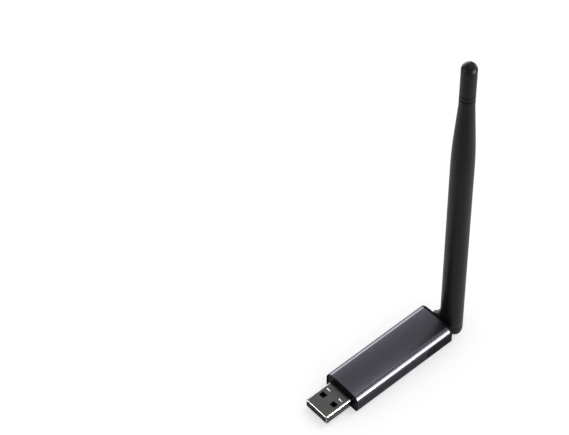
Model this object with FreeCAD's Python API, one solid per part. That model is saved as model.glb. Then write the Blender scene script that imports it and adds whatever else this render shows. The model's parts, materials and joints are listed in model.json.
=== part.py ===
"""A USB radio stick with a folding whip antenna.

Millimetres, +Z up. The stick lies along X with its plug towards -X and its antenna
towards +X. The origin is the middle of the flat underside. At rest the whip stands
upright behind the rear cap.
"""

import FreeCAD
import Part

import math
import os

# Body shell
body_length = 51.7
body_width = 17.9
body_height = 8.7
crown_radius = 50.0
top_corner_radius = 3.0
bottom_corner_radius = 1.0
smallest_corner = 0.15
sleeve_wall = 1.1

# End caps
front_lip = 0.5
front_rim = 0.45
front_recess = 0.25
front_boss_depth = 2.4
front_edge_round = 0.2
rear_lip = 1.4
rear_boss_depth = 2.0
rear_edge_round = 0.45
cap_fit = 0.06
lug_length = 12.5
lug_corner_radius = 2.2
lug_fit = 0.08

# Plug
plug_width = 12.0
plug_height = 4.5
plug_length = 18.75
plug_reach = 13.4
plug_wall = 0.3
plug_corner_radius = 0.75
plug_bottom = 1.2
plug_fit = 0.1
window_width = 2.5
window_length = 2.3
window_offset = 3.1
window_setback = 6.4
barb_length = 1.9
barb_width = 0.4
barb_height = 0.2
barb_offset = 3.4
barb_setback = 9.7
seam_gap = 0.1
wing_length = 1.6
wing_fit = 0.1

# Plug insulator and contacts
tongue_height = 1.9
tongue_setback = 0.5
tongue_fit = 0.04
rear_block_depth = 11.0
contact_width = 1.0
contact_thickness = 0.2
contact_offsets = (-3.5, -1.0, 1.0, 3.5)
contact_setbacks = (1.2, 2.0, 2.0, 1.2)
contact_tail = 1.7
contact_step = 1.5

# Circuit board
board_thickness = 1.2
board_rear_gap = 2.72
board_corner = 0.6
board_side_fit = 0.15
board_plug_gap = 0.15
rail_depth = 0.9
rail_thickness = 0.7
rail_fit = 0.08

# Radio shield and what it covers
shield_side_gap = 0.75
shield_height = 2.2
shield_wall = 0.25
shield_start = 15.5
radio_chip_size = (7.0, 7.0, 0.9)
crystal_size = (2.5, 2.0, 0.6)
memory_chip_size = (3.0, 2.0, 0.6)
shielded_gap = 0.6
crystal_side = 3.0
memory_chip_side = 2.5

# Parts around the shield
bridge_setback = 5.0
bridge_chip_side = 2.4
regulator_side = 3.2
row_gap = 2.0
row_inset = 2.15
lower_row_side = 3.5
lamp_gap = 1.0
bridge_chip_size = (4.0, 4.0, 0.85)
regulator_size = (2.9, 1.6, 1.1)
lead_length = 0.5
lead_width = 0.4
lead_height = 0.45
lamp_size = (0.8, 1.6, 0.6)
capacitor_size = (1.0, 0.5, 0.5)
resistor_size = (1.0, 0.5, 0.35)
chip_pitch = 1.3
capacitor_count = 8
resistor_count = 6

# Antenna cable
cable_radius = 0.565
cable_channel = 0.75
socket_size = (2.6, 2.6, 0.6)
socket_setback = 9.7
socket_row_lead = 2.5
cable_plug_radius = 1.3
ferrule_length = 2.0
ferrule_radius = 0.85
ferrule_gap = 0.05
cable_bend = 0.75
cable_split = 0.05

# Swivel
axle_radius = 2.0
axle_fit = 0.05
axle_overrun = 1.6
collar_radius = 4.0
collar_length = 2.0
collar_gap = 0.1
clip_groove = 0.3
clip_thickness = 0.5
clip_radius = 2.75
clip_fit = 0.04
clip_mouth = 1.6
washer_thickness = 0.3
washer_gap = 0.02

# Whip
whip_diameter = 9.35
whip_gap = 0.18
whip_offset = 3.05
whip_ground_gap = 0.1
whip_height = 158.1
whip_wall = 1.1
taper_length = 27.0
shoulder_blend = 9.0
tip_diameter = 6.3
tip_neck = 4.1
tip_length = 18.0
tip_groove_rise = 2.2
groove_width = 0.35
groove_depth = 0.3
tip_dome = 2.7
knuckle_seam = 5.2
seam_width = 0.25
seam_depth = 0.25
spigot_top = 22.0
spigot_fit = 0.05

# Hinge between base and whip
finger_radius = 3.3
hinge_face = 2.05
hinge_side_gap = 0.15
hinge_top_gap = 0.3
pin_radius = 0.9
pin_fit = 0.04
pin_press = 0.01
pin_head_radius = 1.7
pin_head_height = 0.6
pin_head_floor = 2.0
pin_skin = 1.4
spring_thickness = 0.25
spring_gap = 0.02
pocket_inner = 1.5
pocket_outer = 2.9
pocket_depth = 2.2
whip_cable_shift = 0.5

# Radiator inside the whip
choke_bottom = 58.0
choke_length = 27.0
choke_radius = 2.4
choke_wall = 0.3
rod_radius = 0.6
rod_clearance = 9.5
spacer_length = 4.0
lower_spacer_drop = 6.0
upper_spacer_rise = 3.0
spacer_fit = 0.1
tip_spigot = 7.0

# Heights and places that follow from the sizes above
half_length = body_length / 2
half_width = body_width / 2
front_x = -half_length
rear_x = half_length
sleeve_front = front_x + front_lip
sleeve_rear = rear_x - rear_lip
lug_front = sleeve_rear - lug_length
lug_bottom = bottom_corner_radius
corner_centre_y = half_width - top_corner_radius
crown_centre_z = body_height - crown_radius
corner_reach = crown_radius - top_corner_radius
lug_top = crown_centre_z + math.sqrt(corner_reach ** 2 - corner_centre_y ** 2)

plug_front = front_x - plug_reach
plug_rear = plug_front + plug_length
plug_middle_z = plug_bottom + plug_height / 2
board_bottom = plug_middle_z - board_thickness / 2
board_top = board_bottom + board_thickness
board_front = front_x + front_lip + front_boss_depth + rail_fit
board_half = half_width - sleeve_wall - board_side_fit
rail_face = half_width - sleeve_wall - rail_depth
wing_reach = rail_face - wing_fit
row_side = rail_face - row_inset

whip_radius = whip_diameter / 2
axis_z = whip_radius + whip_ground_gap
pivot_x = rear_x + whip_gap + whip_radius
whip_y = -whip_offset
ear_face = -(hinge_face + hinge_side_gap)
saddle_z = axis_z + collar_radius + hinge_top_gap
tip_joint = whip_height - tip_length
tip_groove = tip_joint + tip_groove_rise
taper_end = tip_joint - tip_neck
shoulder_height = taper_end - taper_length
rod_top = whip_height - rod_clearance
axle_inner_end = sleeve_rear - rear_boss_depth - axle_overrun
clip_rear = sleeve_rear - rear_boss_depth - washer_thickness - 2 * washer_gap
clip_front = clip_rear - clip_thickness
cable_exit_x = pivot_x - (pocket_inner + pocket_outer) / 2
whip_cable_y = whip_y - whip_cable_shift

board_rear = axle_inner_end - board_rear_gap
socket_x = axle_inner_end - socket_setback
row_x = socket_x - socket_row_lead
bridge_x = front_x + shield_start - bridge_setback
shield_front = front_x + shield_start
shield_rear = row_x - row_gap
shield_middle = (shield_front + shield_rear) / 2
memory_chip_x = shield_front + shield_wall + shielded_gap + memory_chip_size[0] / 2
shield_half = rail_face - shield_side_gap
cable_plug_bottom = board_top + socket_size[2]
cable_plug_height = 2 * (ferrule_radius + ferrule_gap)
cable_z = cable_plug_bottom + cable_plug_height / 2

X = FreeCAD.Vector(1, 0, 0)
Y = FreeCAD.Vector(0, 1, 0)
Z = FreeCAD.Vector(0, 0, 1)


def point(x, y, z):
    return FreeCAD.Vector(x, y, z)


def box(x0, x1, y0, y1, z0, z1):
    return Part.makeBox(x1 - x0, y1 - y0, z1 - z0, point(x0, y0, z0))


def block(size, x, y, z):
    """A box of the given length, width and height, centred on x and y, standing on z."""
    length, width, height = size
    return box(x - length / 2, x + length / 2, y - width / 2, y + width / 2, z, z + height)


def rod_x(radius, x0, x1, y=0.0, z=axis_z):
    return Part.makeCylinder(radius, x1 - x0, point(x0, y, z), X)


def rod_y(radius, y0, y1, x=pivot_x, z=axis_z):
    return Part.makeCylinder(radius, y1 - y0, point(x, y0, z), Y)


def rod_z(radius, z0, z1, x=pivot_x, y=whip_y):
    return Part.makeCylinder(radius, z1 - z0, point(x, y, z0), Z)


def prism(points, direction):
    """A straight prism on the closed polygon that the points give."""
    return Part.Face(Part.makePolygon(points + [points[0]])).extrude(direction)


def join(first, *others):
    return first.multiFuse(list(others)).removeSplitter()


def arc(centre, radius, start, end):
    """An arc in the Y-Z plane between two angles in degrees, measured from +Y towards +Z."""
    def at(angle):
        turn = math.radians(angle)
        return point(centre.x, centre.y + radius * math.cos(turn), centre.z + radius * math.sin(turn))
    return Part.Arc(at(start), at((start + end) / 2), at(end)).toShape()


def body_section(x, inset):
    """The stick's cross-section at x, a set distance inside its outer skin.

    Flat underside with small corners, upright sides, large top corners and a
    slightly crowned top that runs tangent into them.
    """
    low = max(bottom_corner_radius - inset, smallest_corner)
    high = max(top_corner_radius - inset, smallest_corner)
    side = half_width - inset
    floor = inset
    crown = crown_radius - inset
    reach = crown - high
    low_y = side - low
    high_y = side - high
    high_z = crown_centre_z + math.sqrt(reach ** 2 - high_y ** 2)
    lean = math.degrees(math.atan2(high_z - crown_centre_z, high_y))
    edges = [
        Part.makeLine(point(x, -low_y, floor), point(x, low_y, floor)),
        arc(point(x, low_y, floor + low), low, -90, 0),
        Part.makeLine(point(x, side, floor + low), point(x, side, high_z)),
        arc(point(x, high_y, high_z), high, 0, lean),
        arc(point(x, 0, crown_centre_z), crown, lean, 180 - lean),
        arc(point(x, -high_y, high_z), high, 180 - lean, 180),
        Part.makeLine(point(x, -side, high_z), point(x, -side, floor + low)),
        arc(point(x, -low_y, floor + low), low, 180, 270),
    ]
    return Part.Face(Part.Wire(Part.__sortEdges__(edges)))


def body_prism(x0, x1, inset=0.0):
    return body_section(x0, inset).extrude(X * (x1 - x0))


def rounded_tube(x0, x1, width, height, bottom, radius):
    """A solid bar along X with rounded long edges."""
    bar = box(x0, x1, -width / 2, width / 2, bottom, bottom + height)
    long_edges = [e for e in bar.Edges if abs(e.tangentAt(e.FirstParameter).x) > 0.99]
    return bar.makeFillet(radius, long_edges)


def edges_at_x(shape, x):
    """The edges of a shape that lie in the plane at x."""
    flat = []
    for edge in shape.Edges:
        reach = edge.BoundBox
        if abs(reach.XMin - x) < 1e-6 and abs(reach.XMax - x) < 1e-6:
            flat.append(edge)
    return flat


def lug_outline(margin):
    """The side profile of a rear-cap lug, as a plate across the whole stick.

    Its front upper corner is rounded. A margin enlarges the profile for the
    notch that takes it.
    """
    x0 = lug_front - margin
    z0 = lug_bottom - margin
    z1 = lug_top + margin
    r = lug_corner_radius
    y = -body_width
    corner = Part.Arc(
        point(x0, y, z1 - r),
        point(x0 + r * (1 - math.cos(math.pi / 4)), y, z1 - r * (1 - math.sin(math.pi / 4))),
        point(x0 + r, y, z1),
    ).toShape()
    edges = [
        Part.makeLine(point(x0, y, z0), point(x0, y, z1 - r)),
        corner,
        Part.makeLine(point(x0 + r, y, z1), point(rear_x, y, z1)),
        Part.makeLine(point(rear_x, y, z1), point(rear_x, y, z0)),
        Part.makeLine(point(rear_x, y, z0), point(x0, y, z0)),
    ]
    return Part.Face(Part.Wire(edges)).extrude(Y * 2 * body_width)


def make_sleeve():
    """Extruded tube with a pair of rails each side for the board, notched for the lugs."""
    shell = body_prism(sleeve_front, sleeve_rear)
    shell = shell.cut(body_prism(sleeve_front, sleeve_rear, sleeve_wall))
    rail_front = board_front
    rail_rear = lug_front - lug_fit
    rails = []
    for side in (-1, 1):
        y0, y1 = sorted((side * rail_face, side * (half_width - sleeve_wall / 2)))
        below = board_bottom - rail_fit
        above = board_top + rail_fit
        rails.append(box(rail_front, rail_rear, y0, y1, below - rail_thickness, below))
        rails.append(box(rail_front, rail_rear, y0, y1, above, above + rail_thickness))
    shell = join(shell, *rails)
    core = body_prism(sleeve_front, sleeve_rear, sleeve_wall)
    return shell.cut(lug_outline(lug_fit).cut(core))


def plug_bar(x0, x1, inset):
    """A bar with the plug shell's section, a set distance inside its skin."""
    radius = max(plug_corner_radius - inset, smallest_corner)
    return rounded_tube(x0, x1, plug_width - 2 * inset, plug_height - 2 * inset, plug_bottom + inset, radius)


def make_front_cap():
    """Front plate with a raised rim, and a boss inside the sleeve around the plug."""
    plate = body_prism(front_x, sleeve_front)
    plate = plate.makeFillet(front_edge_round, edges_at_x(plate, front_x))
    recess = body_prism(front_x - front_recess, front_x + front_recess, front_rim)
    boss = body_prism(sleeve_front, sleeve_front + front_boss_depth, sleeve_wall + cap_fit)
    cap = join(plate.cut(recess), boss)
    return cap.cut(plug_bar(plug_front, plug_rear, -plug_fit))


def make_rear_cap():
    """Rear plate, a boss inside the sleeve, two side lugs and the bearing for the axle."""
    plate = body_prism(sleeve_rear, rear_x)
    plate = plate.makeFillet(rear_edge_round, edges_at_x(plate, rear_x))
    boss = body_prism(sleeve_rear - rear_boss_depth, sleeve_rear, sleeve_wall + cap_fit)
    skin = body_prism(lug_front, sleeve_rear)
    skin = skin.cut(body_prism(lug_front, sleeve_rear, sleeve_wall + cap_fit))
    lugs = skin.common(lug_outline(0.0))
    cap = join(plate, boss, lugs)
    return cap.cut(rod_x(axle_radius + axle_fit, front_x, pivot_x))


def make_plug_shell():
    """Folded steel shell with four latch windows, two barbs, a seam and two wings."""
    shell = plug_bar(plug_front, plug_rear, 0.0).cut(plug_bar(plug_front, plug_rear, plug_wall))
    top = plug_bottom + plug_height
    window_x = plug_front + window_setback
    barb_x = plug_front + barb_setback
    extras = []
    for side in (-1, 1):
        y = side * window_offset
        shell = shell.cut(block((window_length, window_width, 2 * plug_height), window_x, y, 0))
        barb_size = (barb_width, barb_length, plug_wall + barb_height)
        extras.append(block(barb_size, barb_x, side * barb_offset, top - plug_wall))
        y0, y1 = sorted((side * (plug_width / 2 - plug_wall), side * wing_reach))
        extras.append(box(board_front, board_front + wing_length, y0, y1, board_top, board_top + plug_wall))
    shell = join(shell, *extras)
    return shell.cut(box(plug_front, plug_rear, -seam_gap / 2, seam_gap / 2, 0, plug_bottom + 2 * plug_wall))


def contact(offset, setback):
    """One flat contact: along the tongue, up a step inside the block, out to its pad."""
    low = plug_bottom + plug_wall + tongue_fit + tongue_height
    step_start = front_x
    step_end = front_x + contact_step
    tail_end = plug_rear + contact_tail
    t = contact_thickness
    y = offset - contact_width / 2
    start = plug_front + setback
    outline = [
        point(start, y, low),
        point(step_start, y, low),
        point(step_end, y, board_top),
        point(tail_end, y, board_top),
        point(tail_end, y, board_top + t),
        point(step_end - t / 2, y, board_top + t),
        point(step_start - t / 2, y, low + t),
        point(start, y, low + t),
    ]
    return prism(outline, Y * contact_width)


def make_contacts():
    return Part.makeCompound([contact(y, s) for y, s in zip(contact_offsets, contact_setbacks)])


def make_tongue():
    """Insulator: a thin tongue in front, a full-height block behind it."""
    inset = plug_wall + tongue_fit
    full = plug_bar(plug_front + tongue_setback, plug_rear, inset)
    low = plug_bottom + inset + tongue_height
    cavity = box(plug_front, plug_front + rear_block_depth, -plug_width, plug_width, low, body_height)
    insulator = full.cut(cavity)
    for piece in make_contacts().Solids:
        insulator = insulator.cut(piece)
    return insulator


def make_board():
    """Bare board with rounded corners and a slot in front for the plug."""
    board = box(board_front, board_rear, -board_half, board_half, board_bottom, board_top)
    corners = [e for e in board.Edges if abs(e.tangentAt(e.FirstParameter).z) > 0.99]
    board = board.makeFillet(board_corner, corners)
    slot_half = plug_width / 2 + board_plug_gap
    slot = box(front_x, plug_rear + board_plug_gap, -slot_half, slot_half, 0, body_height)
    return board.cut(slot)


def make_shield():
    can = box(shield_front, shield_rear, -shield_half, shield_half, board_top, board_top + shield_height)
    middle_z = board_top + shield_height / 2
    upper = [e for e in can.Edges if e.BoundBox.ZMax > middle_z]
    can = can.makeFillet(shield_wall, upper)
    x0 = shield_front + shield_wall
    x1 = shield_rear - shield_wall
    y = shield_half - shield_wall
    return can.cut(box(x0, x1, -y, y, board_top, board_top + shield_height - shield_wall))


def make_radio_chip():
    x = shield_rear - shield_wall - shielded_gap - radio_chip_size[0] / 2
    return block(radio_chip_size, x, 0, board_top)


def make_crystal():
    return block(crystal_size, memory_chip_x, crystal_side, board_top)


def make_memory_chip():
    return block(memory_chip_size, memory_chip_x, -memory_chip_side, board_top)


def make_bridge_chip():
    return block(bridge_chip_size, bridge_x, bridge_chip_side, board_top)


def make_regulator():
    """Moulded body with one lead on one side and two on the other."""
    length, width, height = regulator_size
    y = -regulator_side
    raised = lead_height / 4
    body = block((length, width, height - raised), bridge_x, y, board_top + raised)
    leads = []
    for dx, side in ((0.0, 1), (-length / 3, -1), (length / 3, -1)):
        lead_y = y + side * (width / 2 + lead_length / 2)
        leads.append(block((lead_width, lead_length, lead_height), bridge_x + dx, lead_y, board_top))
    return join(body, *leads)


def chip_row(size, count, x, y, z, step):
    chips = [block(size, x + i * step, y, z) for i in range(count)]
    return Part.makeCompound(chips)


def make_capacitors():
    """A row beside the shield on top, and a row under the board."""
    above = capacitor_count // 2
    length, width, height = capacitor_size
    top = chip_row((width, length, height), above, row_x, row_side, board_top, chip_pitch)
    below = board_bottom - height
    rest = capacitor_count - above
    under = chip_row(capacitor_size, rest, shield_middle, lower_row_side, below, 2 * chip_pitch)
    return Part.makeCompound(top.Solids + under.Solids)


def make_resistors():
    length, width, height = resistor_size
    turned = (width, length, height)
    return chip_row(turned, resistor_count, row_x, -row_side, board_top, chip_pitch)


def make_lamp():
    row_end = row_x + capacitor_count // 2 * chip_pitch
    return block(lamp_size, row_end + lamp_gap, row_side, board_top)


def make_cable_socket():
    return block(socket_size, socket_x, 0, board_top)


def make_cable_plug():
    """Round snap-on plug with a side ferrule that grips the cable."""
    head = rod_z(cable_plug_radius, cable_plug_bottom, cable_plug_bottom + cable_plug_height, socket_x, 0)
    ferrule = rod_x(ferrule_radius, socket_x, socket_x + cable_plug_radius + ferrule_length, 0, cable_z)
    plug = join(head, ferrule)
    bore = rod_x(cable_radius, socket_x + cable_plug_radius, rear_x, 0, cable_z)
    return plug.cut(bore)


def rounded_corner(before, corner, after, reach):
    """The arc that starts and ends at the given reach from a corner, tangent to both runs."""
    back = (before - corner).normalize()
    ahead = (after - corner).normalize()
    half_angle = back.getAngle(ahead) / 2
    radius = reach * math.tan(half_angle)
    middle_way = (back + ahead).normalize()
    start = corner + back * reach
    middle = corner + middle_way * (radius / math.sin(half_angle) - radius)
    end = corner + ahead * reach
    return start, Part.Arc(start, middle, end).toShape(), end


def tube_along(points, reach):
    """A cable along straight runs, each corner rounded from the given reach."""
    edges = []
    last = points[0]
    for before, corner, after in zip(points, points[1:], points[2:]):
        start, bend, end = rounded_corner(before, corner, after, reach)
        edges.append(Part.makeLine(last, start))
        edges.append(bend)
        last = end
    edges.append(Part.makeLine(last, points[-1]))
    path = Part.Wire(edges)
    first_run = (points[1] - points[0]).normalize()
    ring = Part.Wire(Part.makeCircle(cable_radius, points[0], first_run))
    return path.makePipeShell([ring], True, True)


def make_feed_cable():
    """From the snap-on plug to the inner end of the hollow axle."""
    start = socket_x + cable_plug_radius
    third = (axle_inner_end - start) / 3
    return tube_along(
        [
            point(start, 0, cable_z),
            point(start + third, 0, cable_z),
            point(start + 2 * third, 0, axis_z),
            point(axle_inner_end, 0, axis_z),
        ],
        cable_bend,
    )


def make_swivel_washer():
    rear = clip_rear + washer_gap + washer_thickness
    ring = rod_x(clip_radius, rear - washer_thickness, rear)
    return ring.cut(rod_x(axle_radius + axle_fit, front_x, pivot_x))


def make_retaining_clip():
    """Open ring that snaps into the groove near the axle's inner end."""
    ring = rod_x(clip_radius, clip_front, clip_rear)
    ring = ring.cut(rod_x(axle_radius - clip_groove + clip_fit, front_x, pivot_x))
    mouth = box(front_x, pivot_x, -clip_mouth / 2, clip_mouth / 2, 0, axis_z)
    return ring.cut(mouth)


def make_antenna_base():
    """Hollow axle, collar and a rounded finger with a flat side for the hinge."""
    collar_front = rear_x + collar_gap
    axle = rod_x(axle_radius, axle_inner_end, collar_front + collar_length)
    groove = rod_x(clip_radius, clip_front - clip_fit, clip_rear + clip_fit)
    groove = groove.cut(rod_x(axle_radius - clip_groove, front_x, pivot_x))
    collar = rod_x(collar_radius, collar_front, collar_front + collar_length)
    finger = rod_x(finger_radius, collar_front, pivot_x + finger_radius)
    nose = rod_y(finger_radius, -finger_radius, finger_radius)
    square = box(front_x, pivot_x, -finger_radius, finger_radius, 0, body_height)
    finger = finger.common(join(nose, square))
    base = join(axle.cut(groove), collar, finger)
    past = 2 * collar_radius
    base = base.cut(box(front_x, pivot_x + past, -past, -hinge_face, -past, axis_z + past))
    base = base.cut(rod_x(cable_channel, axle_inner_end, cable_exit_x + cable_channel))
    base = base.cut(rod_y(cable_channel, -past, 0, cable_exit_x))
    base = base.cut(rod_y(pin_radius + pin_fit, -past, past))
    return base.cut(rod_y(pin_head_radius + pin_fit, pin_head_floor, past))


def make_base_cable():
    """Through the hollow axle and out of the finger's flat side."""
    return tube_along(
        [
            point(axle_inner_end + cable_split, 0, axis_z),
            point(cable_exit_x, 0, axis_z),
            point(cable_exit_x, -hinge_face, axis_z),
        ],
        cable_bend,
    )


def make_hinge_spring():
    ring = rod_y(pin_head_radius, pin_head_floor + spring_gap, pin_head_floor + spring_gap + spring_thickness)
    return ring.cut(rod_y(pin_radius + pin_fit, 0, body_width))


def make_hinge_pin():
    """Headed pin, pressed into the whip's ear and free to turn in the base."""
    head_start = pin_head_floor + 2 * spring_gap + spring_thickness
    tip = whip_y - whip_radius + pin_skin
    shank = rod_y(pin_radius, tip, head_start)
    head = rod_y(pin_head_radius, head_start, head_start + pin_head_height)
    return join(shank, head)


def ear_side(z0, z1):
    """The space on the base's side of the hinge face, from z0 to z1."""
    past = 2 * whip_diameter
    return box(pivot_x - past, pivot_x + past, ear_face, past, z0, z1)


def make_whip_knuckle():
    """Rounded lower end of the whip: an ear beside the base, and a spigot in the sleeve."""
    seam = knuckle_seam
    lower = rod_z(whip_radius, 0, axis_z).common(rod_y(whip_radius, -body_width, body_width))
    outer = join(lower, rod_z(whip_radius, axis_z, seam))
    spigot = rod_z(whip_radius - whip_wall - spigot_fit, seam, spigot_top)
    knuckle = join(outer, spigot).cut(ear_side(-whip_radius, saddle_z))
    pocket = rod_y(pocket_outer, ear_face - pocket_depth, 0).cut(rod_y(pocket_inner, -body_width, body_width))
    knuckle = knuckle.cut(pocket)
    knuckle = knuckle.cut(rod_z(cable_channel, axis_z + pocket_inner, spigot_top, pivot_x, whip_cable_y))
    hole_end = whip_y - whip_radius + pin_skin - pin_press
    return knuckle.cut(rod_y(pin_radius + pin_press, hole_end, 0))


def whip_outline():
    """Half section of the whip's outside from the seam to the tip joint."""
    foot = point(whip_radius, 0, knuckle_seam)
    shoulder = point(whip_radius, 0, shoulder_height)
    waist = point(tip_diameter / 2, 0, taper_end)
    start, blend, end = rounded_corner(foot, shoulder, waist, shoulder_blend)
    edges = [
        Part.makeLine(foot, start),
        blend,
        Part.makeLine(end, waist),
        Part.makeLine(waist, point(tip_diameter / 2, 0, tip_joint)),
        Part.makeLine(point(tip_diameter / 2, 0, tip_joint), point(0, 0, tip_joint)),
        Part.makeLine(point(0, 0, tip_joint), point(0, 0, knuckle_seam)),
        Part.makeLine(point(0, 0, knuckle_seam), foot),
    ]
    return Part.Face(Part.Wire(edges))


def turn_about_whip(face):
    """Revolve a half section and stand it on the whip's axis."""
    solid = face.revolve(point(0, 0, 0), Z, 360)
    solid.translate(point(pivot_x, whip_y, 0))
    return solid


def groove_ring(z, radius, width, depth):
    outer = rod_z(radius + depth, z - width / 2, z + width / 2)
    return outer.cut(rod_z(radius - depth, z - width / 2, z + width / 2))


def make_whip_sleeve():
    """Long moulded tube: straight, then tapered to the tip, open at both ends."""
    solid = turn_about_whip(whip_outline())
    bore = rod_z(whip_radius - whip_wall, knuckle_seam, shoulder_height)
    r_tip = tip_diameter / 2 - whip_wall
    cone = Part.makeCone(whip_radius - whip_wall, r_tip, taper_end - shoulder_height,
                         point(pivot_x, whip_y, shoulder_height), Z)
    neck = rod_z(r_tip, taper_end, tip_joint)
    tube = solid.cut(join(bore, cone, neck))
    tube = tube.cut(groove_ring(knuckle_seam, whip_radius, 2 * seam_width, seam_depth))
    tube = tube.cut(groove_ring(tip_joint, tip_diameter / 2, groove_width, groove_depth))
    return tube.cut(ear_side(-whip_radius, saddle_z))


def make_whip_tip():
    """Domed tip with a spigot in the sleeve and one groove above the joint."""
    radius = tip_diameter / 2
    crown = radius - tip_dome
    shoulder = tip_dome * math.sin(math.pi / 4)
    edges = [
        Part.makeLine(point(0, 0, tip_joint), point(radius, 0, tip_joint)),
        Part.makeLine(point(radius, 0, tip_joint), point(radius, 0, whip_height - tip_dome)),
        Part.Arc(
            point(radius, 0, whip_height - tip_dome),
            point(crown + shoulder, 0, whip_height - tip_dome + shoulder),
            point(crown, 0, whip_height),
        ).toShape(),
        Part.makeLine(point(crown, 0, whip_height), point(0, 0, whip_height)),
        Part.makeLine(point(0, 0, whip_height), point(0, 0, tip_joint)),
    ]
    tip = turn_about_whip(Part.Face(Part.Wire(edges)))
    spigot = rod_z(radius - whip_wall - spigot_fit, tip_joint - tip_spigot / 2, tip_joint)
    tip = join(tip, spigot)
    tip = tip.cut(groove_ring(tip_groove, radius, groove_width, groove_depth))
    return tip.cut(rod_z(rod_radius + spacer_fit, tip_joint - tip_spigot, rod_top + spacer_fit))


def make_whip_cable():
    """From the hinge pocket up to the foot of the rod."""
    return rod_z(cable_radius, axis_z + pocket_inner, choke_bottom + choke_length, pivot_x, whip_cable_y)


def make_choke():
    """Brass tube around the top of the cable, closed by a ring at its upper end."""
    top = choke_bottom + choke_length
    tube = rod_z(choke_radius, choke_bottom, top)
    tube = tube.cut(rod_z(choke_radius - choke_wall, choke_bottom, top - choke_wall))
    return tube.cut(rod_z(cable_radius, choke_bottom, top, pivot_x, whip_cable_y))


def make_rod():
    """Upper radiator: a straight rod with a foot that stands on the cable's core."""
    return rod_z(rod_radius, choke_bottom + choke_length, rod_top)


def spacer(z, inner):
    """A bead that centres what it holds in the sleeve's bore."""
    outer = rod_z(whip_radius - whip_wall - spacer_fit, z, z + spacer_length)
    return outer.cut(inner)


def make_lower_spacer():
    z = choke_bottom - lower_spacer_drop
    return spacer(z, rod_z(cable_radius, z, z + spacer_length, pivot_x, whip_cable_y))


def make_upper_spacer():
    """The upper bead follows the sleeve's taper."""
    z = shoulder_height + upper_spacer_rise
    inner_tip = tip_diameter / 2 - whip_wall
    rate = (whip_radius - whip_wall - inner_tip) / (taper_end - shoulder_height)
    low = whip_radius - whip_wall - spacer_fit - rate * (z - shoulder_height)
    bead = Part.makeCone(low, low - rate * spacer_length, spacer_length, point(pivot_x, whip_y, z), Z)
    return bead.cut(rod_z(rod_radius, z, z + spacer_length))


pieces = {
    "sleeve": make_sleeve,
    "front_cap": make_front_cap,
    "rear_cap": make_rear_cap,
    "plug_shell": make_plug_shell,
    "plug_tongue": make_tongue,
    "plug_contacts": make_contacts,
    "circuit_board": make_board,
    "radio_shield": make_shield,
    "radio_chip": make_radio_chip,
    "crystal": make_crystal,
    "memory_chip": make_memory_chip,
    "bridge_chip": make_bridge_chip,
    "voltage_regulator": make_regulator,
    "chip_capacitors": make_capacitors,
    "chip_resistors": make_resistors,
    "status_lamp": make_lamp,
    "cable_socket": make_cable_socket,
    "cable_plug": make_cable_plug,
    "feed_cable": make_feed_cable,
    "swivel_washer": make_swivel_washer,
    "retaining_clip": make_retaining_clip,
    "antenna_base": make_antenna_base,
    "base_cable": make_base_cable,
    "hinge_spring": make_hinge_spring,
    "hinge_pin": make_hinge_pin,
    "whip_knuckle": make_whip_knuckle,
    "whip_sleeve": make_whip_sleeve,
    "whip_tip": make_whip_tip,
    "whip_cable": make_whip_cable,
    "choke_tube": make_choke,
    "radiator_rod": make_rod,
    "lower_spacer": make_lower_spacer,
    "upper_spacer": make_upper_spacer,
}


def main():
    os.makedirs("parts", exist_ok=True)
    for name, make in pieces.items():
        shape = make()
        shape.exportStep("parts/" + name + ".step")
        reach = shape.BoundBox
        print(name, len(shape.Solids), round(shape.Volume, 1), shape.isValid(),
              [round(v, 2) for v in (reach.XMin, reach.XMax, reach.YMin, reach.YMax, reach.ZMin, reach.ZMax)])


main()
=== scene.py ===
"""Looks for a USB radio stick with a folding, swivelling whip antenna.

Every operator dresses one piece, or one group of like pieces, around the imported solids.
Lengths are metres in the frame of the solids: +X from the plug to the antenna, +Z up.
"""

import json
import math

import bmesh
import bpy
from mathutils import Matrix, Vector


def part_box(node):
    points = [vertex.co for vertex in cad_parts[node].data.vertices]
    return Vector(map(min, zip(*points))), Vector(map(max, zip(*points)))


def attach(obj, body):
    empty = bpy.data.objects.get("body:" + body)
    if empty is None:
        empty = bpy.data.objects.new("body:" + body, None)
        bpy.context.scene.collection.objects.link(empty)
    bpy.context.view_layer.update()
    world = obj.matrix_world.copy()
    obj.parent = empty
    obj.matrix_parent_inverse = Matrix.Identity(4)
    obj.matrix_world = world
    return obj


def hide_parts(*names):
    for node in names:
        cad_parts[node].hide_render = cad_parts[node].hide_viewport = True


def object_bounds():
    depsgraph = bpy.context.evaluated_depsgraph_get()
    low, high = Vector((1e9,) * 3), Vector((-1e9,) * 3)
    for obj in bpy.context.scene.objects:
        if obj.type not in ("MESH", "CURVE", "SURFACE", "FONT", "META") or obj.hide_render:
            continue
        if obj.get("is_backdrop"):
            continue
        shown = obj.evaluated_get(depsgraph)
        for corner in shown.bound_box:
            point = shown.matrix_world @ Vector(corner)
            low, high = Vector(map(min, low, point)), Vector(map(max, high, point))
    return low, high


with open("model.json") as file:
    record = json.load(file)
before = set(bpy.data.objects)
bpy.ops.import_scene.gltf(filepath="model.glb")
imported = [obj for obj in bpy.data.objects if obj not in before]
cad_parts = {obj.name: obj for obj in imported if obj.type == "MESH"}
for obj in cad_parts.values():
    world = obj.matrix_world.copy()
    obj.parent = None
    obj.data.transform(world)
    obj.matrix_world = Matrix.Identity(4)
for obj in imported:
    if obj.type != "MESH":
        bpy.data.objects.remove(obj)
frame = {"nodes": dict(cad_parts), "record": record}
solid_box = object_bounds()

bl_info = {
    "name": "USB Radio Stick Looks",
    "version": (1, 0, 0),
    "blender": (4, 5, 0),
    "location": "View3D > Sidebar > Radio Stick",
    "description": "Builds the finished pieces and materials of a USB radio stick with a whip antenna",
    "category": "Object",
}

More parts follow.
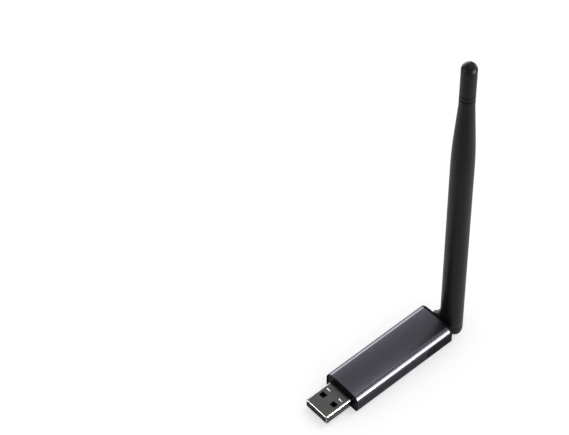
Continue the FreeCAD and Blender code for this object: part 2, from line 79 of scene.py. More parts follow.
MM = 0.001
FAR = 20 * MM  # reaches past every face that a tool body cuts
MERGE = 0.0005 * MM  # points nearer than this are one
ALONG, ACROSS, UP = Vector((1, 0, 0)), Vector((0, 1, 0)), Vector((0, 0, 1))
FLOAT = "NodeSocketFloat"
COLOR = "NodeSocketColor"
VECTOR = "NodeSocketVector"


def span(node, axis):
    """Lowest and highest place of a solid along one axis, 0 for x, 1 for y, 2 for z."""
    low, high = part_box(node)
    return low[axis], high[axis]


def middle_and_half(node, axis):
    """Place of a solid's middle along one axis, and half its size there."""
    low, high = span(node, axis)
    return (low + high) / 2, (high - low) / 2


SLEEVE_FRONT, SLEEVE_REAR = span("sleeve", 0)
CAP_FRONT = span("front_cap", 0)[0]
LUG_FRONT, CAP_REAR = span("rear_cap", 0)
HALF_WIDTH = span("sleeve", 1)[1]
BODY_TOP = span("sleeve", 2)[1]
PLUG_FRONT, PLUG_REAR = span("plug_shell", 0)
PLUG_MIDDLE = middle_and_half("circuit_board", 2)[0]  # the plug straddles the circuit board
AXLE_FRONT, FINGER_REAR = span("antenna_base", 0)
WHIP_X, WHIP_RADIUS = middle_and_half("whip_sleeve", 0)
WHIP_Y = middle_and_half("whip_sleeve", 1)[0]
WHIP_TOP = span("whip_tip", 2)[1]
PIVOT_Z = span("whip_knuckle", 2)[0] + WHIP_RADIUS
WHIP_AXIS = Vector((WHIP_X, WHIP_Y, 0))
HINGE = Vector((WHIP_X, 0, PIVOT_Z))


def length(name, description, default):
    return bpy.props.FloatProperty(
        name=name, description=description, default=default * MM, min=0, unit="LENGTH", subtype="DISTANCE"
    )


def colour(name, description, default):
    return bpy.props.FloatVectorProperty(
        name=name, description=description, default=default, size=3, min=0, max=1, subtype="COLOR"
    )


def share(name, description, default):
    return bpy.props.FloatProperty(name=name, description=description, default=default, min=0, max=1, subtype="FACTOR")


def brightness(name, description, default):
    return bpy.props.FloatProperty(name=name, description=description, default=default, min=0)


def angle(name, description, default):
    return bpy.props.FloatProperty(name=name, description=description, default=math.radians(default), unit="ROTATION")


class BodySizes(bpy.types.PropertyGroup):
    crown_radius: length("Crown radius", "Radius of the slightly domed top", 50.0)
    top_corner: length("Top corner", "Radius of the two upper long edges", 3.0)
    bottom_corner: length("Bottom corner", "Radius of the two lower long edges", 1.0)
    smallest_corner: length("Smallest corner", "Least radius of an inner long edge", 0.15)
    wall: length("Wall", "Thickness of the aluminium tube", 1.1)
    cut_edge: length("Cut edge", "Width of the broken edges of the aluminium", 0.09)
    front_rim: length("Front rim", "Width of the front cap's raised rim", 0.45)
    front_recess: length("Front recess", "Depth of the face inside the front rim", 0.25)
    front_round: length("Front rounding", "Rounding of the front cap's outer edge", 0.2)
    rear_round: length("Rear rounding", "Rounding of the rear cap's outer edge", 0.6)
    moulded_edge: length("Moulded edge", "Rounding of small moulded edges", 0.08)
    boss_depth: length("Boss depth", "How far a cap's boss reaches into the tube", 2.0)
    cap_fit: length("Cap fit", "Clearance between a cap's boss and the tube", 0.06)
    lug_corner: length("Lug corner", "Radius of a lug's front upper corner", 2.2)
    lug_fit: length("Lug fit", "Clearance around a lug in its notch", 0.08)
    lug_top: length("Lug top", "Height of a lug's upper edge", 5.885)


class PlugSizes(bpy.types.PropertyGroup):
    width: length("Width", "Outside width of the plug shell", 12.0)
    height: length("Height", "Outside height of the plug shell", 4.5)
    wall: length("Wall", "Sheet thickness of the plug shell", 0.3)
    corner: length("Corner", "Outside radius of the folded long edges", 0.75)
    curl: length("Curl", "Radius of the inward curl at the shell's mouth", 0.6)
    curl_bend: angle("Curl bend", "How far the curl at the mouth turns inwards", 60)
    sheet_edge: length("Sheet edge", "Rounding of the cut edges of the sheet", 0.03)
    smallest_corner: length("Smallest corner", "Least radius of a fold on its inside", 0.15)
    hole_fit: length("Hole fit", "Clearance between the front cap and the shell", 0.1)
    window_width: length("Window width", "Width of a latch window", 2.5)
    window_length: length("Window length", "Length of a latch window", 2.3)
    window_offset: length("Window offset", "Distance of a latch window from the middle", 3.1)
    window_setback: length("Window setback", "Distance of a latch window from the front", 6.4)
    window_corner: length("Window corner", "Corner radius of a latch window", 0.18)
    barb_setback: length("Barb setback", "Distance of a barb from the front", 9.7)
    barb_offset: length("Barb offset", "Distance of a barb from the middle", 3.4)
    barb_width: length("Barb width", "Length of a barb across the plug", 1.9)
    barb_depth: length("Barb depth", "Size of a barb along the plug", 0.34)
    barb_height: length("Barb height", "How far a barb stands out of the shell", 0.13)
    seam: length("Seam", "Gap of the folded shell's seam", 0.1)
    seam_lock: length("Seam lock", "Size of the dovetail that locks the seam", 1.3)
    tongue_fit: length("Tongue fit", "Clearance between the insulator and the shell", 0.04)
    tongue_height: length("Tongue height", "Thickness of the insulator's tongue", 1.9)
    tongue_setback: length("Tongue setback", "Distance of the insulator from the front", 0.5)
    tongue_edge: length("Tongue edge", "Rounding of the insulator's edges", 0.1)
    block_depth: length("Block depth", "Distance of the insulator's full block from the front", 11.0)
    inner_offset: length("Inner offset", "Distance of the inner contacts from the middle", 1.0)
    outer_offset: length("Outer offset", "Distance of the outer contacts from the middle", 3.5)
    contact_setback: length("Contact setback", "Distance of the inner contacts from the front", 2.0)
    contact_lead: length("Contact lead", "How far the outer contacts reach past the inner ones", 0.8)
    contact_width: length("Contact width", "Width of a contact", 1.0)
    contact_thickness: length("Contact thickness", "Thickness of a contact", 0.2)
    contact_reach: length("Contact reach", "Length of a contact's open part", 3.2)
    contact_sink: length("Contact sink", "How deep a contact runs inside the insulator", 0.5)


class WhipSizes(bpy.types.PropertyGroup):
    wall: length("Wall", "Thickness of the whip's tube", 1.1)
    ring_step: length("Ring step", "Height of one ring of the tube's skin", 1.0)
    tip_radius: length("Tip radius", "Radius of the slim upper end", 3.15)
    shoulder: length("Shoulder", "Height where the taper starts", 109.0)
    blend: length("Blend", "Length over which the straight part runs into the taper", 9.0)
    taper_end: length("Taper end", "Height where the taper ends", 136.0)
    tip_joint: length("Tip joint", "Height of the joint under the tip", 140.1)
    tip_groove: length("Tip groove", "Height of the groove in the tip", 142.3)
    groove_width: length("Groove width", "Width of a groove", 0.35)
    groove_depth: length("Groove depth", "Depth of a groove", 0.3)
    groove_edge: length("Groove edge", "Width of the broken edges of a groove", 0.08)
    spigot_fit: length("Spigot fit", "Clearance between a spigot and the tube around it", 0.05)
    dome: length("Dome", "Radius of the tip's rounded edge", 2.7)
    seam: length("Seam", "Height of the parting line above the rounded foot", 5.2)
    seam_depth: length("Seam depth", "Depth of the parting line", 0.3)
    pocket_inner: length("Pocket inside", "Inner radius of the cable's pocket in the hinge ear", 1.5)
    pocket_outer: length("Pocket outside", "Outer radius of the cable's pocket in the hinge ear", 2.9)
    pocket_depth: length("Pocket depth", "Depth of the cable's pocket", 2.2)
    channel: length("Channel", "Radius of the cable's way up into the tube", 0.75)
    channel_shift: length("Channel shift", "How far the cable runs beside the whip's middle line", 0.5)
    pin_hole: length("Pin hole", "Radius of the hole for the hinge pin", 0.91)
    ear_face: length("Ear face", "Distance of the hinge face from the stick's middle plane", 2.2)
    saddle: length("Saddle", "Height where the cut for the hinge ends", 9.075)
    edge: length("Edge", "Rounding of small moulded edges", 0.12)


class SwivelSizes(bpy.types.PropertyGroup):
    axle_radius: length("Axle radius", "Radius of the hollow axle", 2.0)
    axle_fit: length("Axle fit", "Clearance between the axle and its bearing", 0.05)
    collar_radius: length("Collar radius", "Radius of the collar behind the rear cap", 4.0)
    collar_length: length("Collar length", "Length of the collar", 2.0)
    collar_gap: length("Collar gap", "Gap between the rear cap and the collar", 0.1)
    finger_radius: length("Finger radius", "Radius of the hinge finger", 3.3)
    hinge_face: length("Hinge face", "Distance of the finger's flat side from the middle plane", 2.05)
    channel: length("Channel", "Radius of the cable's channel", 0.75)
    cable_exit: length("Cable exit", "Distance of the cable's way out from the hinge pin", 2.2)
    pin_radius: length("Pin radius", "Radius of the hinge pin's hole", 0.94)
    head_radius: length("Head radius", "Radius of the pin head's counterbore", 1.74)
    head_floor: length("Head floor", "Distance of the counterbore's floor from the middle plane", 2.0)
    pin_fit: length("Pin fit", "Clearance around the hinge pin and its head", 0.04)
    head_dome: length("Head dome", "Rounding of the pin's head", 0.35)
    pin_lead: length("Pin lead", "Size of the chamfer on the pin's far end", 0.2)
    head_dimple: length("Head dimple", "Radius of the dimple that riveting leaves in the head", 0.55)
    dimple_depth: length("Dimple depth", "Depth of the dimple in the head", 0.12)
    edge: length("Edge", "Rounding of small moulded edges", 0.16)


class Finishes(bpy.types.PropertyGroup):
    aluminium: colour("Aluminium", "Dark grey anodising with a slight violet tinge", (0.050, 0.0495, 0.0585))
    aluminium_tone: colour("Aluminium tone", "Second tone of the anodising", (0.046, 0.0455, 0.053))
    aluminium_line: colour("Aluminium line", "Tone of the lines that extruding leaves", (0.09, 0.09, 0.10))
    aluminium_rub: colour("Aluminium rub", "Tone of the tube's ends where handling rubs them", (0.16, 0.16, 0.17))
    aluminium_roughness: share("Aluminium roughness", "Roughness of the anodised surface", 0.26)
    cap: colour("Cap plastic", "Black plastic of the end caps", (0.0045, 0.0045, 0.0050))
    cap_tone: colour("Cap tone", "Second tone of the cap plastic", (0.0065, 0.0065, 0.0072))
    whip: colour("Whip plastic", "Satin black plastic of the antenna", (0.0020, 0.0020, 0.0020))
    whip_tone: colour("Whip tone", "Second tone of the antenna plastic", (0.0035, 0.0035, 0.0035))
    plug: colour("Plug metal", "Dark plating of the plug shell", (0.083, 0.0815, 0.078))
    plug_tone: colour("Plug tone", "Second tone of the plug shell", (0.074, 0.0725, 0.0695))
    # Painted highlight as well as rubbed plating: this bright metal on the plug's mouth, folds and barbs stands in for
    # their highlight lines.
    bare: colour("Bare metal", "The plug's plating where it is rubbed bright", (0.60, 0.59, 0.57))
    insulator: colour("Insulator", "Black plastic inside the plug", (0.008, 0.008, 0.009))
    gold: colour("Contact gold", "Plating of the contacts", (0.83, 0.60, 0.24))
    mask: colour("Solder mask", "Black lacquer of the circuit board", (0.010, 0.012, 0.014))
    tin: colour("Tin", "Tinned sheet and solder", (0.62, 0.62, 0.60))
    epoxy: colour("Epoxy", "Moulded bodies of the chips", (0.022, 0.022, 0.023))
    ceramic: colour("Ceramic", "Bodies of the capacitors", (0.36, 0.25, 0.15))
    jacket: colour("Jacket", "Outer sleeve of the antenna cable", (0.020, 0.020, 0.021))
    brass: colour("Brass", "Choke tube and radiator rod", (0.62, 0.43, 0.17))
    lamp: colour("Lamp", "Clear resin of the status lamp", (0.85, 0.84, 0.72))
    lamp_tone: colour("Lamp tone", "Second tone of the lamp's resin", (0.8, 0.79, 0.66))
    bead: colour("Bead", "Natural plastic of the spacers", (0.70, 0.69, 0.64))
    spring: colour("Spring steel", "Clip, washers and pin", (0.46, 0.46, 0.47))


class StageSettings(bpy.types.PropertyGroup):
    lens: bpy.props.FloatProperty(
        name="Lens", description="Focal length of the camera", default=191.2, min=1, unit="CAMERA"
    )
    distance: length("Distance", "Depth of the stick's front corner from the camera", 1193.167)
    shift_right: length("Shift right", "How far the front corner lies right of the view's middle", 16.459)
    shift_down: length("Shift down", "How far the front corner lies below the view's middle", 65.910)
    azimuth: angle("Azimuth", "Turn of the camera about the vertical", -41.7)
    elevation: angle("Elevation", "Height of the camera above the horizon", 51.44)
    floor_size: length("Floor size", "Side of the square floor", 8000.0)
    floor: colour("Floor", "Pale floor", (0.94, 0.94, 0.94))
    floor_lift: share("Floor lift", "How far the floor is lifted towards white where it is seen", 0.5)
    world: colour("World", "Soft light all round", (0.95, 0.95, 0.96))
    top_light: brightness("Top light", "Brightness of the large light above the antenna's side", 2.9)
    right_card: brightness("Right card", "Brightness of the card on the stick's right", 9.5)
    right_strip: brightness("Right strip", "Brightness of the strip of light under the right card", 46.0)
    left_card: brightness("Left card", "Brightness of the low card behind the stick's left", 9.0)
    front_card: brightness("Front card", "Brightness of the card in front of the plug", 6.0)
    rear_card: brightness("Rear card", "Brightness of the low card behind the antenna", 12.0)


def new_piece(name, points, faces):
    """A mesh object from points in metres."""
    mesh = bpy.data.meshes.new(name)
    mesh.from_pydata([tuple(p) for p in points], [], faces)
    piece = bpy.data.objects.new(name, mesh)
    bpy.context.scene.collection.objects.link(piece)
    turn_outwards(piece)
    return piece


def turn_outwards(piece):
    """Joins points that coincide and turns every face outwards."""
    work = bmesh.new()
    work.from_mesh(piece.data)
    bmesh.ops.remove_doubles(work, verts=work.verts, dist=MERGE)
    bmesh.ops.recalc_face_normals(work, faces=work.faces)
    work.to_mesh(piece.data)
    work.free()


def settle(piece):
    """Turns a piece with modifiers into a plain mesh."""
    graph = bpy.context.evaluated_depsgraph_get()
    finished = piece.evaluated_get(graph)
    mesh = bpy.data.meshes.new_from_object(finished, preserve_all_data_layers=True, depsgraph=graph)
    worn_out = piece.data
    piece.modifiers.clear()
    piece.data = mesh
    bpy.data.meshes.remove(worn_out)
    mesh.name = piece.name


def combine(piece, tool, operation="DIFFERENCE"):
    """Cuts, joins or intersects a piece with a tool body, which is used up."""
    step = piece.modifiers.new("combine", "BOOLEAN")
    step.operation = operation
    step.solver = "MANIFOLD"
    step.object = tool
    settle(piece)
    spent = tool.data
    bpy.data.objects.remove(tool)
    bpy.data.meshes.remove(spent)


def soften(piece, width, segments=2, angle=35):
    """Rounds the sharp edges and shades the rest smooth."""
    bevel = piece.modifiers.new("bevel", "BEVEL")
    bevel.width = width
    bevel.segments = segments
    bevel.limit_method = "ANGLE"
    bevel.angle_limit = math.radians(angle)
    bevel.miter_outer = "MITER_ARC"
    bevel.use_clamp_overlap = True
    settle(piece)
    shade(piece)


def shade(piece, angle=40):
    """Smooth shading that keeps flat faces flat."""
    piece.data.polygons.foreach_set("use_smooth", [True] * len(piece.data.polygons))
    piece.data.set_sharp_from_angle(angle=math.radians(angle))
    weighted = piece.modifiers.new("weighted", "WEIGHTED_NORMAL")
    weighted.keep_sharp = True
    weighted.weight = 60
    settle(piece)


def wear(piece, body, slot, node):
    """Gives a finished piece its material and its body, and hides the solid that it stands for."""
    piece.data.materials.clear()
    piece.data.materials.append(finish_of(slot))
    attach(piece, body)
    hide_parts(node)


def arc(centre, radius, start, end, steps):
    """Points of an arc in a plane, angles in degrees from the first axis to the second."""
    points = []
    for i in range(steps + 1):
        turn = math.radians(start + (end - start) * i / steps)
        points.append((centre[0] + radius * math.cos(turn), centre[1] + radius * math.sin(turn)))
    return points


def body_outline(sizes, inset=0.0):
    """The stick's cross-section as (y, z) points, a set distance inside its skin."""
    low = max(sizes.bottom_corner - inset, sizes.smallest_corner)
    high = max(sizes.top_corner - inset, sizes.smallest_corner)
    side = HALF_WIDTH - inset
    crown = sizes.crown_radius - inset
    crown_z = BODY_TOP - sizes.crown_radius
    high_y = side - high
    high_z = crown_z + math.sqrt((crown - high) ** 2 - high_y ** 2)
    lean = math.degrees(math.atan2(high_z - crown_z, high_y))
    return (
        arc((side - low, inset + low), low, -90, 0, 8)
        + arc((high_y, high_z), high, 0, lean, 20)
        + arc((0, crown_z), crown, lean, 180 - lean, 24)[1:-1]
        + arc((-high_y, high_z), high, 180 - lean, 180, 20)
        + arc((low - side, inset + low), low, 180, 270, 8)
    )


def bar_outline(width, height, middle_z, radius, steps=6):
    """A rounded rectangle as (y, z) points."""
    y = width / 2 - radius
    z = height / 2 - radius
    outline = []
    for quarter, (cy, cz) in enumerate(((y, z), (-y, z), (-y, -z), (y, -z))):
        outline += arc((cy, middle_z + cz), radius, 90 * quarter, 90 * quarter + 90, steps)
    return outline


def rounding(radius, steps=5):
    """Pairs of depth and inset that round an edge, from its side to its face."""
    pairs = []
    for i in range(steps + 1):
        turn = math.pi / 2 * i / steps
        pairs.append((radius * (1 - math.sin(turn)), radius * (1 - math.cos(turn))))
    return pairs


def loft(name, rings, hollow=False):
    """A closed skin through rings of equal counts. A hollow loft joins its last ring to its first."""
    count = len(rings[0])
    points = [p for ring in rings for p in ring]
    faces = []
    last = len(rings) if hollow else len(rings) - 1
    for i in range(last):
        here = i * count
        there = (i + 1) % len(rings) * count
        for k in range(count):
            k2 = (k + 1) % count
            faces.append((here + k, here + k2, there + k2, there + k))
    if not hollow:
        faces.append(tuple(range(count - 1, -1, -1)))
        faces.append(tuple(range((len(rings) - 1) * count, len(rings) * count)))
    return new_piece(name, points, faces)


def along_x(outline, x):
    """A ring at one place on the stick, from the (y, z) points of its outline."""
    return [(x, y, z) for y, z in outline]


def outwards(axis, sides):
    """Unit vectors square to an axis, evenly spaced once around it."""
    across = axis.orthogonal().normalized()
    over = axis.cross(across)
    turns = [math.tau * i / sides for i in range(sides)]
    return [across * math.cos(turn) + over * math.sin(turn) for turn in turns]


def turned(name, profile, origin, axis, sides=96):
    """A solid of revolution. The profile holds (radius, distance) pairs along the axis."""
    around = outwards(axis, sides)
    points, faces, rows = [], [], []
    for radius, distance in profile:
        middle = origin + axis * distance
        if radius < MERGE:
            rows.append([len(points)])
            points.append(middle)
            continue
        rows.append(range(len(points), len(points) + sides))
        points += [middle + out * radius for out in around]
    for row, following in zip(rows, rows[1:]):
        for i in range(sides):
            k = (i + 1) % sides
            if len(row) == 1:
                faces.append((row[0], following[k], following[i]))
            elif len(following) == 1:
                faces.append((row[i], row[k], following[0]))
            else:
                faces.append((row[i], row[k], following[k], following[i]))
    return new_piece(name, points, faces)


def ring_of(name, profile, origin, axis, sides=96):
    """A closed ring around an axis, from the (radius, distance) corners of its section."""
    around = outwards(axis, sides)
    rings = [[origin + axis * distance + out * radius for radius, distance in profile] for out in around]
    return loft(name, rings, hollow=True)


def rod(name, radius, start, end, sides=64):
    """A round rod between two points."""
    axis = Vector(end) - Vector(start)
    reach = axis.length
    return turned(name, [(0, 0), (radius, 0), (radius, reach), (0, reach)], Vector(start), axis.normalized(), sides)


def rod_along(name, radius, x0, x1, sides=64):
    """A rod on the swivel's axis."""
    return rod(name, radius, (x0, 0, PIVOT_Z), (x1, 0, PIVOT_Z), sides)


def rod_across(name, radius, y0, y1, sides, x=WHIP_X):
    """A rod on the hinge's axis, or beside it at another x."""
    return rod(name, radius, (x, y0, PIVOT_Z), (x, y1, PIVOT_Z), sides)


def block(name, low, high):
    """A plain box between its lowest and its highest corner."""
    x0, y0, z0 = low
    x1, y1, z1 = high
    rings = [[(x, y0, z0), (x, y1, z0), (x, y1, z1), (x, y0, z1)] for x in (x0, x1)]
    return loft(name, rings)


def lug_plate(name, sizes, margin):
    """The side profile of the rear cap's lugs, as a plate across the whole stick."""
    x0 = LUG_FRONT - margin
    z0 = sizes.bottom_corner - margin
    z1 = sizes.lug_top + margin
    corner = sizes.lug_corner
    outline = [(x0, z0)] + arc((x0 + corner, z1 - corner), corner, 180, 90, 10)
    outline += [(CAP_REAR, z1), (CAP_REAR, z0)]
    rings = [[(x, y, z) for x, z in outline] for y in (-2 * HALF_WIDTH, 2 * HALF_WIDTH)]
    return loft(name, rings)


def ribbon(name, path, thickness, lay, low, high):
    """A bent strip of even thickness. The path lies in a plane, and lay gives (u, v, w) its place."""
    left, right = [], []
    for i, here in enumerate(path):
        before = Vector(path[max(i - 1, 0)])
        after = Vector(path[min(i + 1, len(path) - 1)])
        here = Vector(here)
        ways = [step.normalized() for step in (here - before, after - here) if step.length > 0]
        sides = [Vector((-way.y, way.x)) for way in ways]
        mitre = sum(sides, Vector((0, 0))).normalized()
        reach = mitre * (thickness / 2 / mitre.dot(sides[0]))
        left.append(here + reach)
        right.append(here - reach)
    outline = left + right[::-1]
    return loft(name, [[lay(u, v, w) for u, v in outline] for w in (low, high)])


class Nodes:
    """Short calls for building one node tree."""

    def __init__(self, tree):
        self.tree = tree

    def add(self, kind, values=None, **settings):
        node = self.tree.nodes.new(kind)
        for key, value in settings.items():
            setattr(node, key, value)
        for key, value in (values or {}).items():
            if isinstance(value, bpy.types.NodeSocket):
                self.tree.links.new(value, node.inputs[key])
            else:
                node.inputs[key].default_value = value
        return node

    def maths(self, operation, first, second=0.0):
        return self.add("ShaderNodeMath", {0: first, 1: second}, operation=operation).outputs[0]

    def plus(self, first, second):
        return self.maths("ADD", first, second)

    def minus(self, first, second):
        return self.maths("SUBTRACT", first, second)

    def times(self, first, second):
        return self.maths("MULTIPLY", first, second)

    def vector(self, operation, first, second):
        return self.add("ShaderNodeVectorMath", {0: first, 1: second}, operation=operation).outputs

    def noise(self, vector, scale, detail, **more):
        values = {"Vector": vector, "Scale": scale, "Detail": detail, **more}
        return self.add("ShaderNodeTexNoise", values).outputs

    def remap(self, value, low, high, to_low=0.0, to_high=1.0):
        values = {"Value": value, "From Min": low, "From Max": high, "To Min": to_low, "To Max": to_high}
        return self.add("ShaderNodeMapRange", values).outputs[0]

    def mix(self, share_of_second, first, second):
        values = {0: share_of_second, 6: first, 7: second}
        return self.add("ShaderNodeMix", values, data_type="RGBA").outputs[2]


def spaced(values):
    """Keywords as socket names: Base_Color becomes Base Color."""
    return {key.replace("_", " "): value for key, value in values.items()}


def add_inputs(tree, inputs):
    """Gives a tree its inputs. A number, three or four of them make a value, a vector or a colour."""
    for label, default in inputs.items():
        kind = FLOAT if isinstance(default, float) else {3: VECTOR, 4: COLOR}[len(default)]
        tree.interface.new_socket(label, in_out="INPUT", socket_type=kind).default_value = default


def effect(name, inputs, outputs, build):
    """A shader node group, made once, that works on a Vector and its named inputs."""
    if name in bpy.data.node_groups:
        return bpy.data.node_groups[name]
    tree = bpy.data.node_groups.new(name, "ShaderNodeTree")
    add_inputs(tree, {"Vector": (0.0, 0.0, 0.0), **inputs})
    for label in outputs:
        tree.interface.new_socket(label, in_out="OUTPUT", socket_type=COLOR if label == "Color" else FLOAT)
    nodes = Nodes(tree)
    given = nodes.add("NodeGroupInput").outputs
    nodes.add("NodeGroupOutput", build(nodes, given))
    return tree


def form(name, inputs, build):
    """A geometry tree with named sizes. It ends in plain faces that carry the material."""
    tree = bpy.data.node_groups.new(name, "GeometryNodeTree")
    tree.interface.new_socket("Geometry", in_out="INPUT", socket_type="NodeSocketGeometry")
    tree.interface.new_socket("Material", in_out="INPUT", socket_type="NodeSocketMaterial")
    add_inputs(tree, inputs)
    tree.interface.new_socket("Geometry", in_out="OUTPUT", socket_type="NodeSocketGeometry")
    nodes = Nodes(tree)
    given = nodes.add("NodeGroupInput").outputs
    plain = nodes.add("GeometryNodeRealizeInstances", {"Geometry": build(nodes, given)})
    dressed = nodes.add("GeometryNodeSetMaterial", {"Geometry": plain.outputs[0], "Material": given["Material"]})
    nodes.add("NodeGroupOutput", {"Geometry": dressed.outputs[0]})
    return tree


def grow(piece, tree, slot, **sizes):
    """Runs a geometry tree on a piece and keeps the result as a plain mesh."""
    step = piece.modifiers.new("form", "NODES")
    step.node_group = tree
    values = {"Material": finish_of(slot), **spaced(sizes)}
    for item in tree.interface.items_tree:
        if item.in_out == "INPUT" and item.name in values:
            step[item.identifier] = values[item.name]
    settle(piece)


def fine_grain():
    """Two sizes of noise, for moulded, blasted and cast surfaces."""
    def build(nodes, given):
        fine = nodes.noise(given["Vector"], given["Scale"], detail=3.0)[0]
        coarse = nodes.noise(given["Vector"], nodes.times(given["Scale"], 0.23), detail=2.0)[0]
        both = nodes.plus(nodes.times(fine, 0.65), nodes.times(coarse, 0.35))
        return {"Height": both, "Mask": nodes.remap(both, 0.35, 0.65)}
    return effect("Fine Grain", {"Scale": 9000.0}, ("Height", "Mask"), build)


def drawn_lines():
    """Long faint lines along one direction, as extruding and rolling leave them."""
    def build(nodes, given):
        stretched = nodes.vector("MULTIPLY", given["Vector"], given["Stretch"])[0]
        lines = nodes.noise(stretched, 1.0, detail=4.0, Roughness=0.6)[0]
        return {"Height": lines, "Mask": nodes.remap(lines, 0.3, 0.7)}
    return effect("Drawn Lines", {"Stretch": (60.0, 6000.0, 6000.0)}, ("Height", "Mask"), build)


def tone_drift():
    """A slow change between two near tones, and a matching change of a value."""
    def build(nodes, given):
        mask = nodes.remap(nodes.noise(given["Vector"], given["Scale"], detail=2.0)[0], 0.3, 0.7)
        value = nodes.remap(mask, 0.0, 1.0, given["Low"], given["High"])
        return {"Color": nodes.mix(mask, given["First"], given["Second"]), "Value": value}
    inputs = {
        "Scale": 60.0, "First": (0.1, 0.1, 0.1, 1.0), "Second": (0.2, 0.2, 0.2, 1.0), "Low": 0.3, "High": 0.4,
    }
    return effect("Tone Drift", inputs, ("Color", "Value"), build)


def hair_scratches():
    """Sparse short hairlines, the traces of plugging in and of handling."""
    def build(nodes, given):
        bent = nodes.noise(given["Vector"], 140.0, detail=1.0)["Color"]
        offset = nodes.add("ShaderNodeVectorMath", {0: bent, "Scale": 1.2 * MM}, operation="SCALE").outputs[0]
        moved = nodes.vector("ADD", given["Vector"], offset)[0]
        stretched = nodes.vector("MULTIPLY", moved, given["Stretch"])[0]
        cells = nodes.add("ShaderNodeTexVoronoi", {"Vector": stretched, "Scale": 1.0}, feature="DISTANCE_TO_EDGE")
        line = nodes.remap(cells.outputs["Distance"], 0.0, given["Width"], 1.0, 0.0)
        sparse = nodes.noise(given["Vector"], 420.0, detail=2.0)[0]
        return {"Mask": nodes.times(line, nodes.remap(sparse, 0.56, 0.66))}
    return effect("Hair Scratches", {"Stretch": (150.0, 1500.0, 1500.0), "Width": 0.03}, ("Mask",), build)


def end_rub():
    """Where handling has worn the skin at the two ends of a piece, along one of its directions. On the plug's mouth it
    also makes a painted highlight as well as wear.
    """
    def build(nodes, given):
        place = nodes.vector("DOT_PRODUCT", given["Vector"], given["Direction"])["Value"]
        patchy = nodes.noise(given["Vector"], 900.0, detail=3.0)[0]
        reach = nodes.times(given["Width"], nodes.remap(patchy, 0.3, 0.7, 0.3, 1.4))
        from_low = nodes.minus(place, given["Low"])
        nearest = nodes.maths("MINIMUM", from_low, nodes.minus(given["High"], place))
        return {"Mask": nodes.remap(nearest, 0.0, reach, 1.0, 0.0)}
    inputs = {"Direction": (1.0, 0.0, 0.0), "Low": 0.0, "High": 100 * MM, "Width": 0.2 * MM}
    return effect("End Rub", inputs, ("Mask",), build)


def fold_rub():
    """Where the folded long edges of a bar and the points that stand out of it are lighter: rubbed plating, and a
    painted highlight along those edges.
    """
    def build(nodes, given):
        part = nodes.add("ShaderNodeSeparateXYZ", {0: nodes.vector("SUBTRACT", given["Vector"], given["Centre"])[0]})
        across = nodes.maths("ABSOLUTE", part.outputs["Y"])
        up = nodes.maths("ABSOLUTE", part.outputs["Z"])
        shares = []
        for place, half in ((across, given["Half Width"]), (up, given["Half Height"])):
            shares.append(nodes.remap(place, nodes.minus(half, given["Corner"]), half))
        fold = nodes.remap(nodes.times(*shares), given["Start"], given["End"])
        proud = nodes.remap(nodes.minus(up, given["Half Height"]), 0.02 * MM, 0.07 * MM)
        patchy = nodes.noise(given["Vector"], 700.0, detail=3.0)[0]
        worn = nodes.times(fold, nodes.remap(patchy, 0.3, 0.55, 0.55, 1.0))
        return {"Mask": nodes.maths("MAXIMUM", worn, proud)}
    inputs = {
        "Centre": (0.0, 0.0, 0.0), "Half Width": 6 * MM, "Half Height": 2.25 * MM, "Corner": 0.75 * MM,
        "Start": 0.42, "End": 0.48,
    }
    return effect("Fold Rub", inputs, ("Mask",), build)


def solid_colour(value):
    return (*value, 1.0)


def scaled(tint, factor):
    """A lighter or darker tint."""
    return tuple(min(1.0, factor * c) for c in tint)


class Finish(Nodes):
    """One material: a Principled shader with its own chain of effects and bumps."""

    def __init__(self, name, **constants):
        self.material = bpy.data.materials.new(name)
        self.material.use_nodes = True
        super().__init__(self.material.node_tree)
        self.shader = self.tree.nodes["Principled BSDF"]
        for key, value in spaced(constants).items():
            self.shader.inputs[key].default_value = value
        self.place = self.add("ShaderNodeTexCoord").outputs["Object"]

    def use(self, group, **values):
        return self.add("ShaderNodeGroup", {"Vector": self.place, **spaced(values)}, node_tree=group).outputs

    def tone(self, scale, first, second, low, high):
        """Two tones that drift into each other, and a roughness that drifts with them."""
        tones = {"First": solid_colour(first), "Second": solid_colour(second)}
        return self.use(tone_drift(), Scale=scale, Low=low, High=high, **tones)

    def bump(self, height, strength, depth, **under):
        values = {"Height": height, "Strength": strength, "Distance": depth, **under}
        return self.add("ShaderNodeBump", values).outputs[0]

    def set(self, **sources):
        """Links each source to the shader's input of that name."""
        for key, source in spaced(sources).items():
            self.tree.links.new(source, self.shader.inputs[key])


def anodised_aluminium(finishes):
    """Blasted and anodised extrusion: satin metal with faint lines along its length."""
    finish = Finish("anodised_aluminium", Metallic=1.0, Specular_Tint=(0.46, 0.46, 0.46, 1.0))
    rough = finishes.aluminium_roughness
    tone = finish.tone(45.0, finishes.aluminium, finishes.aluminium_tone, rough - 0.02, rough + 0.03)
    lines = finish.use(drawn_lines(), Stretch=(35.0, 5200.0, 5200.0))
    grain = finish.use(fine_grain(), Scale=11000.0)
    rub = finish.use(end_rub(), Low=SLEEVE_FRONT, High=SLEEVE_REAR, Width=0.22 * MM)
    lined = finish.mix(finish.times(lines["Mask"], 0.12), tone["Color"], solid_colour(finishes.aluminium_line))
    low = finish.bump(lines["Height"], strength=0.12, depth=0.006 * MM)
    finish.set(
        Base_Color=finish.mix(finish.times(rub["Mask"], 0.35), lined, solid_colour(finishes.aluminium_rub)),
        Roughness=finish.plus(tone["Value"], finish.times(grain["Mask"], 0.04)),
        Normal=finish.bump(grain["Height"], strength=0.22, depth=0.010 * MM, Normal=low),
    )
    return finish.material


